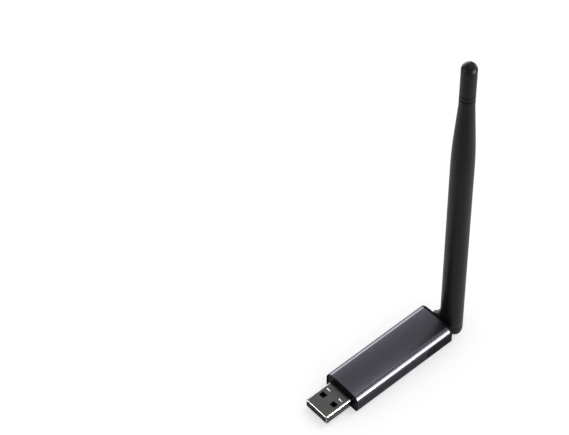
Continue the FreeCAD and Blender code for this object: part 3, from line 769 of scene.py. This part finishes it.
def spark_plastic(name, first, second, roughness, scale, depth, specular):
    """Moulded plastic with the even grain of an etched mould."""
    finish = Finish(name, Specular_IOR_Level=specular)
    tone = finish.tone(70.0, first, second, roughness - 0.03, roughness + 0.04)
    grain = finish.use(fine_grain(), Scale=scale)
    rub = finish.use(hair_scratches(), Stretch=(700.0, 700.0, 260.0), Width=0.012)
    lifted = finish.plus(tone["Value"], finish.times(grain["Mask"], 0.08))
    finish.set(
        Base_Color=tone["Color"],
        Roughness=finish.minus(lifted, finish.times(rub["Mask"], 0.08)),
        Normal=finish.bump(grain["Height"], strength=0.35, depth=depth * MM),
    )
    return finish.material


def plated_steel(name, first, second, roughness, stretch, **constants):
    """Stamped and plated sheet: rolling lines, and hairlines from use."""
    finish = Finish(name, Metallic=1.0, **constants)
    tone = finish.tone(120.0, first, second, roughness - 0.03, roughness + 0.05)
    lines = finish.use(drawn_lines(), Stretch=stretch)
    rub = finish.use(hair_scratches(), Width=0.02)
    scratched = finish.mix(finish.times(rub["Mask"], 0.5), tone["Color"], solid_colour(scaled(first, 1.7)))
    finish.set(
        Base_Color=scratched,
        Roughness=finish.plus(tone["Value"], finish.times(lines["Mask"], 0.07)),
        Normal=finish.bump(lines["Height"], strength=0.18, depth=0.006 * MM),
    )
    return finish, scratched


def plug_steel(finishes, sizes):
    """The plug's dark plating, lighter at its mouth, folded edges and barbs: rubbed plating, and a painted highlight
    along those edges.
    """
    finish, scratched = plated_steel(
        "plug_steel", finishes.plug, finishes.plug_tone, 0.22, (90.0, 7000.0, 7000.0),
        Specular_Tint=(0.65, 0.65, 0.65, 1.0),
    )
    mouth = finish.use(end_rub(), Low=PLUG_FRONT, High=PLUG_REAR + FAR, Width=sizes.curl * 0.5)
    folds = finish.use(
        fold_rub(), Centre=(0.0, 0.0, PLUG_MIDDLE), Half_Width=sizes.width / 2, Half_Height=sizes.height / 2,
        Corner=sizes.corner,
    )
    # Bright metal along the mouth, folds and barbs: rubbed plating, and a painted highlight along those edges.
    bare = finish.times(finish.maths("MAXIMUM", mouth["Mask"], folds["Mask"]), 0.85)
    finish.set(Base_Color=finish.mix(bare, scratched, solid_colour(finishes.bare)))
    return finish.material


def bright_metal(name, tint, roughness):
    """Plain bright metal with a slight tarnish."""
    finish = Finish(name, Metallic=1.0)
    tone = finish.tone(210.0, tint, scaled(tint, 0.72), roughness - 0.04, roughness + 0.08)
    grain = finish.use(fine_grain(), Scale=5200.0)
    finish.set(
        Base_Color=tone["Color"], Roughness=tone["Value"],
        Normal=finish.bump(grain["Height"], strength=0.15, depth=0.008 * MM),
    )
    return finish.material


def circuit_lacquer(name, mask):
    """Black solder mask, slightly raised over the copper tracks underneath."""
    finish = Finish(name, Coat_Weight=0.35, Coat_Roughness=0.2)
    values = {"Vector": finish.place, "Scale": 260.0, "Mortar Size": 0.03, "Mortar Smooth": 0.4}
    tracks = finish.add("ShaderNodeTexBrick", values).outputs["Fac"]
    grain = finish.use(fine_grain(), Scale=7000.0)
    finish.set(
        Base_Color=finish.mix(tracks, solid_colour(mask), solid_colour(scaled(mask, 1.9))),
        Roughness=finish.remap(grain["Mask"], 0.0, 1.0, 0.32, 0.45),
        Normal=finish.bump(tracks, strength=0.5, depth=0.02 * MM),
    )
    return finish.material


def every_finish(of, plug_sizes):
    """The materials, each made once and kept under its slot's name."""
    made = {
        "anodised_aluminium": anodised_aluminium(of),
        "plug_steel": plug_steel(of, plug_sizes),
        "shield_tin": plated_steel("shield_tin", of.tin, of.tin, 0.34, (120.0, 5200.0, 5200.0))[0].material,
        "board": circuit_lacquer("board", of.mask),
    }
    # Each row: slot, first and second tone, roughness, scale of the grain, its depth in mm, specular level.
    for row in (
        ("cap_plastic", of.cap, of.cap_tone, 0.34, 6500.0, 0.020, 0.02),
        ("antenna_plastic", of.whip, of.whip_tone, 0.38, 5200.0, 0.014, 0.10),
        ("insulator_plastic", of.insulator, of.cap_tone, 0.38, 8000.0, 0.010, 0.15),
        ("chip_plastic", of.epoxy, of.cap_tone, 0.55, 9000.0, 0.015, 0.35),
        ("chip_ceramic", of.ceramic, of.ceramic, 0.5, 9000.0, 0.008, 0.35),
        ("resistor_body", of.epoxy, of.mask, 0.3, 9000.0, 0.005, 0.35),
        ("cable_jacket", of.jacket, of.epoxy, 0.4, 5000.0, 0.006, 0.35),
        ("bead_plastic", of.bead, of.bead, 0.4, 4000.0, 0.010, 0.35),
        ("lamp_resin", of.lamp, of.lamp_tone, 0.2, 4000.0, 0.004, 0.35),
    ):
        made[row[0]] = spark_plastic(*row)
    for slot, tint, roughness in (
        ("spring_steel", of.spring, 0.26), ("crystal_metal", of.tin, 0.2), ("contact_gold", of.gold, 0.22),
        ("radiator_brass", of.brass, 0.3),
    ):
        made[slot] = bright_metal(slot, tint, roughness)
    return made


palette = {}


def finish_of(slot):
    """The material of one slot. The first call makes them all."""
    if not palette:
        scene = bpy.context.scene
        palette.update(every_finish(scene.stick_finishes, scene.stick_plug))
    return palette[slot]


def slot_of(node):
    """The material slot that the record gives to a solid."""
    return next(s["material_slot"] for s in frame["record"]["subparts"] if s["node"] == node)


def paint(*nodes):
    """Gives solids that stay as they are their finish."""
    for node in nodes:
        solid = frame["nodes"][node]
        solid.data.materials.clear()
        solid.data.materials.append(finish_of(slot_of(node)))


class STICK_OT_sleeve(bpy.types.Operator):
    """Build the anodised aluminium tube with its notches"""

    bl_idname = "stick.sleeve"
    bl_label = "Aluminium Tube"

    def execute(self, context):
        sizes = context.scene.stick_body
        outer = body_outline(sizes)
        inner = body_outline(sizes, sizes.wall)
        rings = [
            along_x(inner, SLEEVE_FRONT), along_x(outer, SLEEVE_FRONT),
            along_x(outer, SLEEVE_REAR), along_x(inner, SLEEVE_REAR),
        ]
        tube = loft("body_tube", rings, hollow=True)
        combine(tube, lug_plate("notch", sizes, sizes.lug_fit))
        soften(tube, sizes.cut_edge, 3)
        wear(tube, "stick", "anodised_aluminium", "sleeve")
        return {"FINISHED"}


class STICK_OT_front_cap(bpy.types.Operator):
    """Build the front end cap with its rim and its opening for the plug"""

    bl_idname = "stick.front_cap"
    bl_label = "Front Cap"

    def execute(self, context):
        sizes = context.scene.stick_body
        plug = context.scene.stick_plug
        boss = body_outline(sizes, sizes.wall + sizes.cap_fit)
        rings = [
            along_x(boss, SLEEVE_FRONT + sizes.boss_depth), along_x(boss, SLEEVE_FRONT),
            along_x(body_outline(sizes), SLEEVE_FRONT),
        ]
        for depth, inset in rounding(sizes.front_round):
            rings.append(along_x(body_outline(sizes, inset), CAP_FRONT + depth))
        for depth, inset in reversed(rounding(sizes.moulded_edge, 3)):
            rings.append(along_x(body_outline(sizes, sizes.front_rim - inset), CAP_FRONT + depth))
        rings.append(along_x(body_outline(sizes, sizes.front_rim), CAP_FRONT + sizes.front_recess))
        cap = loft("front_end_cap", rings)
        combine(cap, plug_bar("hole", plug, CAP_FRONT - MM, SLEEVE_FRONT + FAR, -plug.hole_fit))
        soften(cap, sizes.moulded_edge, 2, 50)
        wear(cap, "stick", "cap_plastic", "front_cap")
        return {"FINISHED"}


def plug_bar(name, sizes, start, end, inset):
    """A bar with the plug shell's section, a set distance inside its skin."""
    return loft(name, [plug_ring(sizes, start, inset), plug_ring(sizes, end, inset)])


class STICK_OT_rear_cap(bpy.types.Operator):
    """Build the rear end cap with its side lugs and its bearing"""

    bl_idname = "stick.rear_cap"
    bl_label = "Rear Cap"

    def execute(self, context):
        sizes = context.scene.stick_body
        swivel = context.scene.stick_swivel
        inner = sizes.wall + sizes.cap_fit
        into_plate, into_skin = 0.3 * MM, 0.02 * MM  # overlaps, so that the joined bodies share no face
        outer, core, boss = (body_outline(sizes, inset) for inset in (0.0, inner, inner - into_skin))
        skin = loft("rear_end_cap", [along_x(outer, x) for x in (LUG_FRONT, SLEEVE_REAR + into_plate)])
        combine(skin, loft("core", [along_x(core, x) for x in (LUG_FRONT - MM, SLEEVE_REAR + MM)]))
        combine(skin, lug_plate("lugs", sizes, 0.0), "INTERSECT")
        rings = [
            along_x(boss, SLEEVE_REAR - sizes.boss_depth), along_x(boss, SLEEVE_REAR), along_x(outer, SLEEVE_REAR),
        ]
        for depth, inset in rounding(sizes.rear_round, 7):
            rings.append(along_x(body_outline(sizes, inset), CAP_REAR - depth))
        combine(skin, loft("plate", rings), "UNION")
        combine(skin, rod_along("bearing", swivel.axle_radius + swivel.axle_fit, AXLE_FRONT, CAP_REAR + MM))
        soften(skin, sizes.moulded_edge, 2, 50)
        wear(skin, "stick", "cap_plastic", "rear_cap")
        return {"FINISHED"}


class STICK_OT_plug(bpy.types.Operator):
    """Build the folded plug shell with its windows, barbs and locked seam"""

    bl_idname = "stick.plug"
    bl_label = "Plug Shell"

    def execute(self, context):
        sizes = context.scene.stick_plug
        rings = [plug_ring(sizes, PLUG_REAR, sizes.wall), plug_ring(sizes, PLUG_REAR, 0.0)]
        steps = 6
        depth = sizes.curl * math.sin(sizes.curl_bend)
        for radius, turns in ((sizes.curl, range(steps + 1)), (sizes.curl - sizes.wall, range(steps, -1, -1))):
            for i in turns:
                turn = sizes.curl_bend * i / steps
                x = PLUG_FRONT + depth - radius * math.sin(turn)
                rings.append(plug_ring(sizes, x, sizes.curl - radius * math.cos(turn)))
        shell = loft("plug_sheet", rings, hollow=True)
        for side in (-1, 1):
            combine(shell, window_bar(sizes, side))
            combine(shell, barb(sizes, side), "UNION")
        combine(shell, seam_cut(sizes))
        soften(shell, sizes.sheet_edge, 2, 50)
        wear(shell, "stick", "plug_steel", "plug_shell")
        return {"FINISHED"}


def plug_ring(sizes, x, inset):
    """The plug's section at one place, a set distance inside its skin."""
    corner = max(sizes.corner - inset, sizes.smallest_corner)
    return along_x(bar_outline(sizes.width - 2 * inset, sizes.height - 2 * inset, PLUG_MIDDLE, corner), x)


def window_bar(sizes, side):
    """A tool body that opens the latch windows on one side, above and below."""
    x = PLUG_FRONT + sizes.window_setback
    y = side * sizes.window_offset
    outline = bar_outline(sizes.window_length, sizes.window_width, 0.0, sizes.window_corner, 4)
    heights = (PLUG_MIDDLE - sizes.height, PLUG_MIDDLE + sizes.height)
    return loft("window", [[(x + a, y + b, z) for a, b in outline] for z in heights])


def barb(sizes, side):
    """A small ramp that is pushed up out of the sheet and bites into the cap."""
    top = PLUG_MIDDLE + sizes.height / 2
    x0 = PLUG_FRONT + sizes.barb_setback - sizes.barb_depth / 2
    x1 = x0 + sizes.barb_depth
    y = side * sizes.barb_offset
    half = sizes.barb_width / 2
    base = top - sizes.wall / 2
    high = top + sizes.barb_height
    ramp = 0.8 * sizes.barb_height
    fall = 0.4 * sizes.barb_height
    profile = [(x0, base), (x1, base), (x1, high - fall), (x0 + ramp, high), (x0, top)]
    return loft("barb", [[(px, y + end, pz) for px, pz in profile] for end in (-half, half)])


def seam_cut(sizes):
    """A tool body for the fine gap under the plug, with the dovetail that locks it."""
    lock = sizes.seam_lock
    x = (PLUG_FRONT + CAP_FRONT) / 2
    dovetail = [(x - lock / 2, 0), (x - lock * 0.75, lock), (x + lock * 0.75, lock), (x + lock / 2, 0)]
    path = [(PLUG_FRONT - MM, 0), *dovetail, (PLUG_REAR + MM, 0)]
    low, high = PLUG_MIDDLE - sizes.height, PLUG_MIDDLE - MM
    return ribbon("seam", path, sizes.seam, lambda u, v, w: (u, v, w), low, high)


def tongue_top(sizes):
    """Height of the insulator's open face."""
    return PLUG_MIDDLE - sizes.height / 2 + sizes.wall + sizes.tongue_fit + sizes.tongue_height


class STICK_OT_contacts(bpy.types.Operator):
    """Build the row of four gilt contacts"""

    bl_idname = "stick.contacts"
    bl_label = "Contact Row"

    def execute(self, context):
        sizes = context.scene.stick_plug
        half = sizes.contact_width / 2
        thick = sizes.contact_thickness
        face = tongue_top(sizes) + thick / 2
        deep = face - sizes.contact_sink
        pad = span("circuit_board", 2)[1] + thick / 2
        start = PLUG_FRONT + sizes.contact_setback
        bend = start + sizes.contact_reach
        path = [
            (start - 2 * thick, face - 2 * thick), (start, face), (bend, face), (bend + sizes.contact_sink, deep),
            (CAP_FRONT - MM, deep), (CAP_FRONT + MM, pad), (span("plug_contacts", 0)[1], pad),
        ]
        row = ribbon("contact_row", path, thick, lambda u, v, w: (u, w, v), -half, half)
        grow(
            row, contact_row(), "contact_gold", Inner_Offset=sizes.inner_offset, Outer_Offset=sizes.outer_offset,
            Lead=sizes.contact_lead,
        )
        soften(row, thick / 4, 2, 40)
        wear(row, "stick", "contact_gold", "plug_contacts")
        return {"FINISHED"}


def contact_row():
    """Four copies of one contact: two inner ones, and two outer ones that reach further forward."""
    def build(nodes, given):
        points = nodes.add("GeometryNodeMeshLine", {"Count": 4, "Offset": (0.0, 1.0, 0.0)}).outputs[0]
        index = nodes.add("GeometryNodeInputIndex").outputs[0]
        from_middle = nodes.minus(index, 1.5)
        side = nodes.maths("SIGN", from_middle)
        outer = nodes.maths("GREATER_THAN", nodes.maths("ABSOLUTE", from_middle), 1.0)
        step = nodes.minus(given["Outer Offset"], given["Inner Offset"])
        offset = nodes.plus(given["Inner Offset"], nodes.times(outer, step))
        forward = nodes.times(nodes.times(outer, given["Lead"]), -1.0)
        place = nodes.add("ShaderNodeCombineXYZ", {"X": forward, "Y": nodes.times(side, offset)})
        placed = nodes.add("GeometryNodeSetPosition", {"Geometry": points, "Position": place.outputs[0]}).outputs[0]
        return nodes.add("GeometryNodeInstanceOnPoints", {"Points": placed, "Instance": given["Geometry"]}).outputs[0]
    return form("Contact Row", {"Inner Offset": 1.0 * MM, "Outer Offset": 3.5 * MM, "Lead": 0.8 * MM}, build)


class STICK_OT_insulator(bpy.types.Operator):
    """Build the insulator that carries the contacts in the plug"""

    bl_idname = "stick.insulator"
    bl_label = "Insulator"

    def execute(self, context):
        sizes = context.scene.stick_plug
        inset = sizes.wall + sizes.tongue_fit
        tongue = plug_bar("plug_insulator", sizes, PLUG_FRONT + sizes.tongue_setback, PLUG_REAR, inset)
        cavity_end = PLUG_FRONT + sizes.block_depth
        combine(tongue, block("cavity", (PLUG_FRONT - FAR, -FAR, tongue_top(sizes)), (cavity_end, FAR, FAR)))
        soften(tongue, sizes.tongue_edge, 3, 50)
        contacts = bpy.data.objects["contact_row"].data
        faces = [tuple(face.vertices) for face in contacts.polygons]
        combine(tongue, new_piece("slots", [vertex.co for vertex in contacts.vertices], faces))
        shade(tongue)
        wear(tongue, "stick", "insulator_plastic", "plug_tongue")
        return {"FINISHED"}


class STICK_OT_antenna_base(bpy.types.Operator):
    """Build the collar, the hollow axle and the hinge finger"""

    bl_idname = "stick.antenna_base"
    bl_label = "Antenna Base"

    def execute(self, context):
        sizes = context.scene.stick_swivel
        collar_front = CAP_REAR + sizes.collar_gap
        collar_rear = collar_front + sizes.collar_length
        profile = [(0, AXLE_FRONT), (sizes.axle_radius, AXLE_FRONT), (sizes.axle_radius, collar_front)]
        profile += [(sizes.collar_radius - i, collar_front + d) for d, i in reversed(rounding(sizes.edge))]
        profile += [(sizes.collar_radius - i, collar_rear - d) for d, i in rounding(2 * sizes.edge)]
        profile += [(0, collar_rear)]
        base = turned("antenna_collar", profile, Vector((0, 0, PIVOT_Z)), ALONG)
        finger = rod_along("finger", sizes.finger_radius, collar_front, FINGER_REAR, 96)
        nose = rod_across("nose", sizes.finger_radius, -FAR, FAR, 96)
        body = block("body", (collar_front - MM, -FAR, PIVOT_Z - FAR), (WHIP_X, FAR, PIVOT_Z + FAR))
        combine(nose, body, "UNION")
        combine(finger, nose, "INTERSECT")
        combine(base, finger, "UNION")
        combine(base, block("flat", (CAP_REAR, -FAR, -FAR), (WHIP_X + FAR, -sizes.hinge_face, FAR)))
        exit_x = WHIP_X - sizes.cable_exit
        combine(base, rod_along("bore", sizes.channel, AXLE_FRONT - MM, exit_x, 32))
        combine(base, rod_across("way_out", sizes.channel, -FAR, 0, 32, exit_x))
        combine(base, rod_across("hole", sizes.pin_radius, -FAR, FAR, 48))
        combine(base, rod_across("sink", sizes.head_radius, sizes.head_floor, FAR, 48))
        soften(base, sizes.edge * 0.6, 3, 40)
        wear(base, "antenna_base", "antenna_plastic", "antenna_base")
        return {"FINISHED"}


class STICK_OT_hinge_pin(bpy.types.Operator):
    """Build the riveted hinge pin with its domed and dimpled head"""

    bl_idname = "stick.hinge_pin"
    bl_label = "Hinge Pin"

    def execute(self, context):
        sizes = context.scene.stick_swivel
        low, high = span("hinge_pin", 1)
        shank = sizes.pin_radius - sizes.pin_fit
        head = sizes.head_radius - sizes.pin_fit
        under = span("hinge_spring", 1)[1] + sizes.pin_fit / 2
        profile = [(0, low), (shank - sizes.pin_lead, low), (shank, low + sizes.pin_lead), (shank, under)]
        profile += [(head, under)]
        profile += [(head - inset, high - depth) for depth, inset in rounding(sizes.head_dome, 8)]
        for part in (1.0, 0.85, 0.6, 0.3, 0.0):
            profile.append((sizes.head_dimple * part, high - sizes.dimple_depth * (1 - part ** 2)))
        pin = turned("hinge_rivet", profile, HINGE, ACROSS, 64)
        shade(pin, 35)
        wear(pin, "whip", "spring_steel", "hinge_pin")
        return {"FINISHED"}


def ear_space(sizes):
    """A tool body that clears the hinge's side of the whip, up to the saddle."""
    return block("ear", (WHIP_X - FAR, -sizes.ear_face, -MM), (WHIP_X + FAR, FAR, sizes.saddle))


class STICK_OT_whip_foot(bpy.types.Operator):
    """Build the rounded foot of the whip with its hinge ear"""

    bl_idname = "stick.whip_foot"
    bl_label = "Whip Foot"

    def execute(self, context):
        sizes = context.scene.stick_whip
        spigot_top = span("whip_knuckle", 2)[1]
        foot = rod("whip_foot", WHIP_RADIUS, WHIP_AXIS, (WHIP_X, WHIP_Y, PIVOT_Z), 128)
        combine(foot, rod_across("round_end", WHIP_RADIUS, -FAR, FAR, 128), "INTERSECT")
        spigot = WHIP_RADIUS - sizes.wall - sizes.spigot_fit
        profile = [(0, PIVOT_Z), (WHIP_RADIUS, PIVOT_Z), (WHIP_RADIUS, sizes.seam - sizes.seam_depth)]
        profile += [(WHIP_RADIUS - sizes.seam_depth, sizes.seam), (spigot, sizes.seam)]
        profile += [(spigot, spigot_top), (0, spigot_top)]
        combine(foot, turned("neck", profile, WHIP_AXIS, UP, 128), "UNION")
        combine(foot, ear_space(sizes))
        floor_y = -sizes.ear_face - sizes.pocket_depth
        pocket = [(sizes.pocket_inner, 0), (sizes.pocket_inner, floor_y)]
        pocket += [(sizes.pocket_outer, floor_y), (sizes.pocket_outer, 0)]
        combine(foot, ring_of("pocket", pocket, HINGE, ACROSS))
        channel_y = WHIP_Y - sizes.channel_shift
        lowest, highest = PIVOT_Z + sizes.pocket_inner, spigot_top + MM
        combine(foot, rod("channel", sizes.channel, (WHIP_X, channel_y, lowest), (WHIP_X, channel_y, highest), 32))
        combine(foot, rod_across("hole", sizes.pin_hole, span("hinge_pin", 1)[0], 0, 48))
        soften(foot, sizes.edge, 3, 50)
        wear(foot, "whip", "antenna_plastic", "whip_knuckle")
        return {"FINISHED"}


class STICK_OT_whip_sleeve(bpy.types.Operator):
    """Build the long tapered tube of the whip"""

    bl_idname = "stick.whip_sleeve"
    bl_label = "Whip Tube"

    def execute(self, context):
        sizes = context.scene.stick_whip
        top = sizes.tip_joint - sizes.groove_width / 2
        tube = new_piece("whip_tube", [(WHIP_X, WHIP_Y, sizes.seam), (WHIP_X, WHIP_Y, top)], [])
        grow(
            tube, whip_skin(), "antenna_plastic", Foot=sizes.seam, Top=top, Ring_Step=sizes.ring_step,
            Radius=WHIP_RADIUS, Shoulder=sizes.shoulder, Blend=sizes.blend, Taper_End=sizes.taper_end,
            Tip_Radius=sizes.tip_radius, Centre=(WHIP_X, WHIP_Y, 0.0),
        )
        neck = sizes.tip_radius - sizes.groove_depth
        step = [(0, top - MM), (neck, top - MM), (neck, sizes.tip_joint), (0, sizes.tip_joint)]
        combine(tube, turned("step", step, WHIP_AXIS, UP, 128), "UNION")
        inner_tip = sizes.tip_radius - sizes.wall
        inner_foot = WHIP_RADIUS - sizes.wall
        bore = [(0, 0), (inner_foot, 0), (inner_foot, sizes.shoulder), (inner_tip, sizes.taper_end)]
        bore += [(inner_tip, WHIP_TOP), (0, WHIP_TOP)]
        combine(tube, turned("bore", bore, WHIP_AXIS, UP, 96))
        combine(tube, ear_space(sizes))
        soften(tube, sizes.edge * 0.7, 2, 55)
        wear(tube, "whip", "antenna_plastic", "whip_sleeve")
        return {"FINISHED"}


def whip_skin():
    """The whip's outside: a straight run, a soft shoulder, a straight taper and a slim end."""
    def build(nodes, given):
        height = nodes.add("GeometryNodeInputPosition")
        z = nodes.add("ShaderNodeSeparateXYZ", {"Vector": height.outputs[0]}).outputs["Z"]
        blend_start = nodes.minus(given["Shoulder"], given["Blend"])
        blend_end = nodes.plus(given["Shoulder"], given["Blend"])
        into = nodes.remap(z, blend_start, blend_end)
        curved = nodes.times(given["Blend"], nodes.maths("POWER", into, 2.0))
        past = nodes.maths("MAXIMUM", nodes.minus(z, blend_end), 0.0)
        thinner = nodes.minus(given["Radius"], given["Tip Radius"])
        slope = nodes.maths("DIVIDE", thinner, nodes.minus(given["Taper End"], given["Shoulder"]))
        lost = nodes.times(slope, nodes.plus(curved, past))
        radius = nodes.maths("MAXIMUM", nodes.minus(given["Radius"], lost), given["Tip Radius"])
        low = nodes.add("ShaderNodeCombineXYZ", {"Z": given["Foot"]}).outputs[0]
        high = nodes.add("ShaderNodeCombineXYZ", {"Z": given["Top"]}).outputs[0]
        axis = nodes.add("GeometryNodeCurvePrimitiveLine", {"Start": low, "End": high}).outputs[0]
        rings = nodes.add("GeometryNodeResampleCurve", {"Curve": axis, "Length": given["Ring Step"]}, mode="LENGTH")
        circle = nodes.add("GeometryNodeCurvePrimitiveCircle", {"Resolution": 128, "Radius": 1.0})
        lofted = {"Curve": rings.outputs[0], "Profile Curve": circle.outputs[0], "Scale": radius, "Fill Caps": True}
        skin = nodes.add("GeometryNodeCurveToMesh", lofted).outputs[0]
        return nodes.add("GeometryNodeTransform", {"Geometry": skin, "Translation": given["Centre"]}).outputs[0]
    inputs = {
        "Foot": 5 * MM, "Top": 140 * MM, "Ring Step": 1.0 * MM, "Radius": 4.5 * MM, "Shoulder": 109 * MM,
        "Blend": 9 * MM, "Taper End": 136 * MM, "Tip Radius": 3 * MM, "Centre": (0.0, 0.0, 0.0),
    }
    return form("Whip Skin", inputs, build)


class STICK_OT_whip_tip(bpy.types.Operator):
    """Build the domed tip with its groove"""

    bl_idname = "stick.whip_tip"
    bl_label = "Whip Tip"

    def execute(self, context):
        sizes = context.scene.stick_whip
        radius = sizes.tip_radius
        neck = radius - sizes.groove_depth
        spigot = radius - sizes.wall - sizes.spigot_fit
        low = span("whip_tip", 2)[0]
        half = sizes.groove_width / 2
        joint, groove = sizes.tip_joint, sizes.tip_groove

        def lip(z, way):
            """From a groove's floor out to the skin, over its broken edge."""
            return [(neck, z), (radius - sizes.groove_edge, z), (radius, z + way * sizes.groove_edge)]
        profile = [(0, low), (spigot, low), (spigot, joint), (neck, joint)]
        profile += lip(joint + half, 1) + lip(groove - half, -1)[::-1] + lip(groove + half, 1)
        profile += arc((radius - sizes.dome, WHIP_TOP - sizes.dome), sizes.dome, 0, 90, 18)
        profile += [(0, WHIP_TOP)]
        tip = turned("whip_end", profile, WHIP_AXIS, UP, 128)
        shade(tip, 35)
        wear(tip, "whip", "antenna_plastic", "whip_tip")
        return {"FINISHED"}


class STICK_OT_insides(bpy.types.Operator):
    """Finish the solids that stay as they are, inside the stick and the whip"""

    bl_idname = "stick.insides"
    bl_label = "Inner Pieces"

    def execute(self, context):
        paint(
            "circuit_board", "radio_shield", "radio_chip", "crystal", "memory_chip", "bridge_chip", "voltage_regulator",
            "chip_capacitors", "chip_resistors", "status_lamp", "cable_socket", "cable_plug", "feed_cable",
            "swivel_washer", "retaining_clip", "base_cable", "hinge_spring", "whip_cable", "choke_tube", "radiator_rod",
            "lower_spacer", "upper_spacer",
        )
        return {"FINISHED"}


def soft_lamp(name, towards, distance, width, height, strength):
    """A soft rectangle of light that faces the stick. A card shows only in reflections."""
    lamp = bpy.data.lights.new(name, "AREA")
    lamp.shape = "RECTANGLE"
    lamp.size, lamp.size_y = width, height
    lamp.energy = 4 * width * height * strength
    holder = bpy.data.objects.new(name, lamp)
    direction = Vector(towards).normalized()
    holder.location = direction * distance
    holder.rotation_euler = direction.to_track_quat("Z", "Y").to_euler()
    holder.visible_diffuse = name == "top_light"
    bpy.context.scene.collection.objects.link(holder)


def floor_paint(settings):
    """Pale matt floor, lifted towards white where it is seen directly or as a reflection."""
    material = bpy.data.materials.new("floor")
    material.use_nodes = True
    nodes = Nodes(material.node_tree)
    shader = material.node_tree.nodes["Principled BSDF"]
    shader.inputs["Base Color"].default_value = solid_colour(settings.floor)
    shader.inputs["Roughness"].default_value = 0.9
    shader.inputs["Specular IOR Level"].default_value = 0.1
    ray = nodes.add("ShaderNodeLightPath").outputs
    seen = nodes.maths("MAXIMUM", ray["Is Camera Ray"], ray["Is Glossy Ray"])
    seen = nodes.maths("MAXIMUM", seen, ray["Is Transmission Ray"])
    white = nodes.add("ShaderNodeEmission", {"Color": (1.0, 1.0, 1.0, 1.0), "Strength": 1.0}).outputs[0]
    lift = nodes.times(seen, settings.floor_lift)
    blend = nodes.add("ShaderNodeMixShader", {0: lift, 1: shader.outputs[0], 2: white}).outputs[0]
    material.node_tree.links.new(blend, material.node_tree.nodes["Material Output"].inputs["Surface"])
    return material


# Each row: name, direction from the stick, distance, width and height in metres.
LAMPS = (
    ("top_light", (0.415, -0.01, 0.90), 0.8, 0.28, 0.45),
    ("right_card", (0.415, -0.80, 0.45), 0.6, 0.24, 0.27),
    ("right_strip", (0.415, -0.895, 0.165), 0.6, 0.24, 0.19),
    ("left_card", (0.415, 0.86, 0.30), 0.6, 0.45, 0.34),
    ("front_card", (-0.84, 0.465, 0.29), 0.6, 0.36, 0.26),
    ("rear_card", (0.98, 0.0, 0.15), 0.6, 0.20, 0.16),
)


class STICK_OT_stage(bpy.types.Operator):
    """Set up the floor, the soft light and the camera"""

    bl_idname = "stick.stage"
    bl_label = "Stage"

    def execute(self, context):
        scene = context.scene
        settings = scene.stick_stage
        scene.view_settings.view_transform = "Standard"
        half = settings.floor_size / 2
        corners = [(-half, -half, 0), (half, -half, 0), (half, half, 0), (-half, half, 0)]
        floor = new_piece("floor", corners, [(0, 1, 2, 3)])
        floor.data.materials.append(floor_paint(settings))
        floor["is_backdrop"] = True
        world = bpy.data.worlds.new("studio")
        world.use_nodes = True
        world.node_tree.nodes["Background"].inputs["Color"].default_value = solid_colour(settings.world)
        scene.world = world
        for name, *placing in LAMPS:
            soft_lamp(name, *placing, getattr(settings, name))
        place_camera(settings)
        return {"FINISHED"}


def place_camera(settings):
    """The view of the photograph: long lens, from the plug's side and above."""
    turn, level = settings.azimuth, math.cos(settings.elevation)
    back = Vector((math.sin(turn) * level, -math.cos(turn) * level, math.sin(settings.elevation)))
    right = UP.cross(back).normalized()
    above = back.cross(right)
    corner = Vector((CAP_FRONT, HALF_WIDTH, 0))
    camera = bpy.data.cameras.new("camera")
    camera.lens = settings.lens
    camera.clip_start = 0.05
    camera.clip_end = 20
    holder = bpy.data.objects.new("camera", camera)
    holder.location = corner + back * settings.distance - right * settings.shift_right + above * settings.shift_down
    holder.rotation_euler = (-back).to_track_quat("-Z", "Y").to_euler()
    bpy.context.scene.collection.objects.link(holder)
    bpy.context.scene.camera = holder


class STICK_PT_panel(bpy.types.Panel):
    """Buttons for the finished pieces"""

    bl_idname = "STICK_PT_panel"
    bl_label = "Radio Stick"
    bl_space_type = "VIEW_3D"
    bl_region_type = "UI"
    bl_category = "Radio Stick"

    def draw(self, context):
        for operator in OPERATORS:
            self.layout.operator(operator.bl_idname)


SETTINGS = {
    "stick_body": BodySizes,
    "stick_plug": PlugSizes,
    "stick_whip": WhipSizes,
    "stick_swivel": SwivelSizes,
    "stick_finishes": Finishes,
    "stick_stage": StageSettings,
}

OPERATORS = (
    STICK_OT_sleeve,
    STICK_OT_front_cap,
    STICK_OT_rear_cap,
    STICK_OT_plug,
    STICK_OT_contacts,
    STICK_OT_insulator,
    STICK_OT_antenna_base,
    STICK_OT_hinge_pin,
    STICK_OT_whip_foot,
    STICK_OT_whip_sleeve,
    STICK_OT_whip_tip,
    STICK_OT_insides,
    STICK_OT_stage,
)


def register():
    for name, group in SETTINGS.items():
        bpy.utils.register_class(group)
        setattr(bpy.types.Scene, name, bpy.props.PointerProperty(type=group))
    for operator in OPERATORS:
        bpy.utils.register_class(operator)
    bpy.utils.register_class(STICK_PT_panel)


def unregister():
    bpy.utils.unregister_class(STICK_PT_panel)
    for operator in reversed(OPERATORS):
        bpy.utils.unregister_class(operator)
    for name, group in reversed(SETTINGS.items()):
        delattr(bpy.types.Scene, name)
        bpy.utils.unregister_class(group)


def main():
    register()
    for operator in OPERATORS:
        getattr(bpy.ops.stick, operator.bl_idname.split(".")[1])()
    boxes = {"solids": solid_box, "looks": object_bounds()}
    {name: [list(corner) for corner in box] for name, box in boxes.items()}


if __name__ == "__main__":
    main()
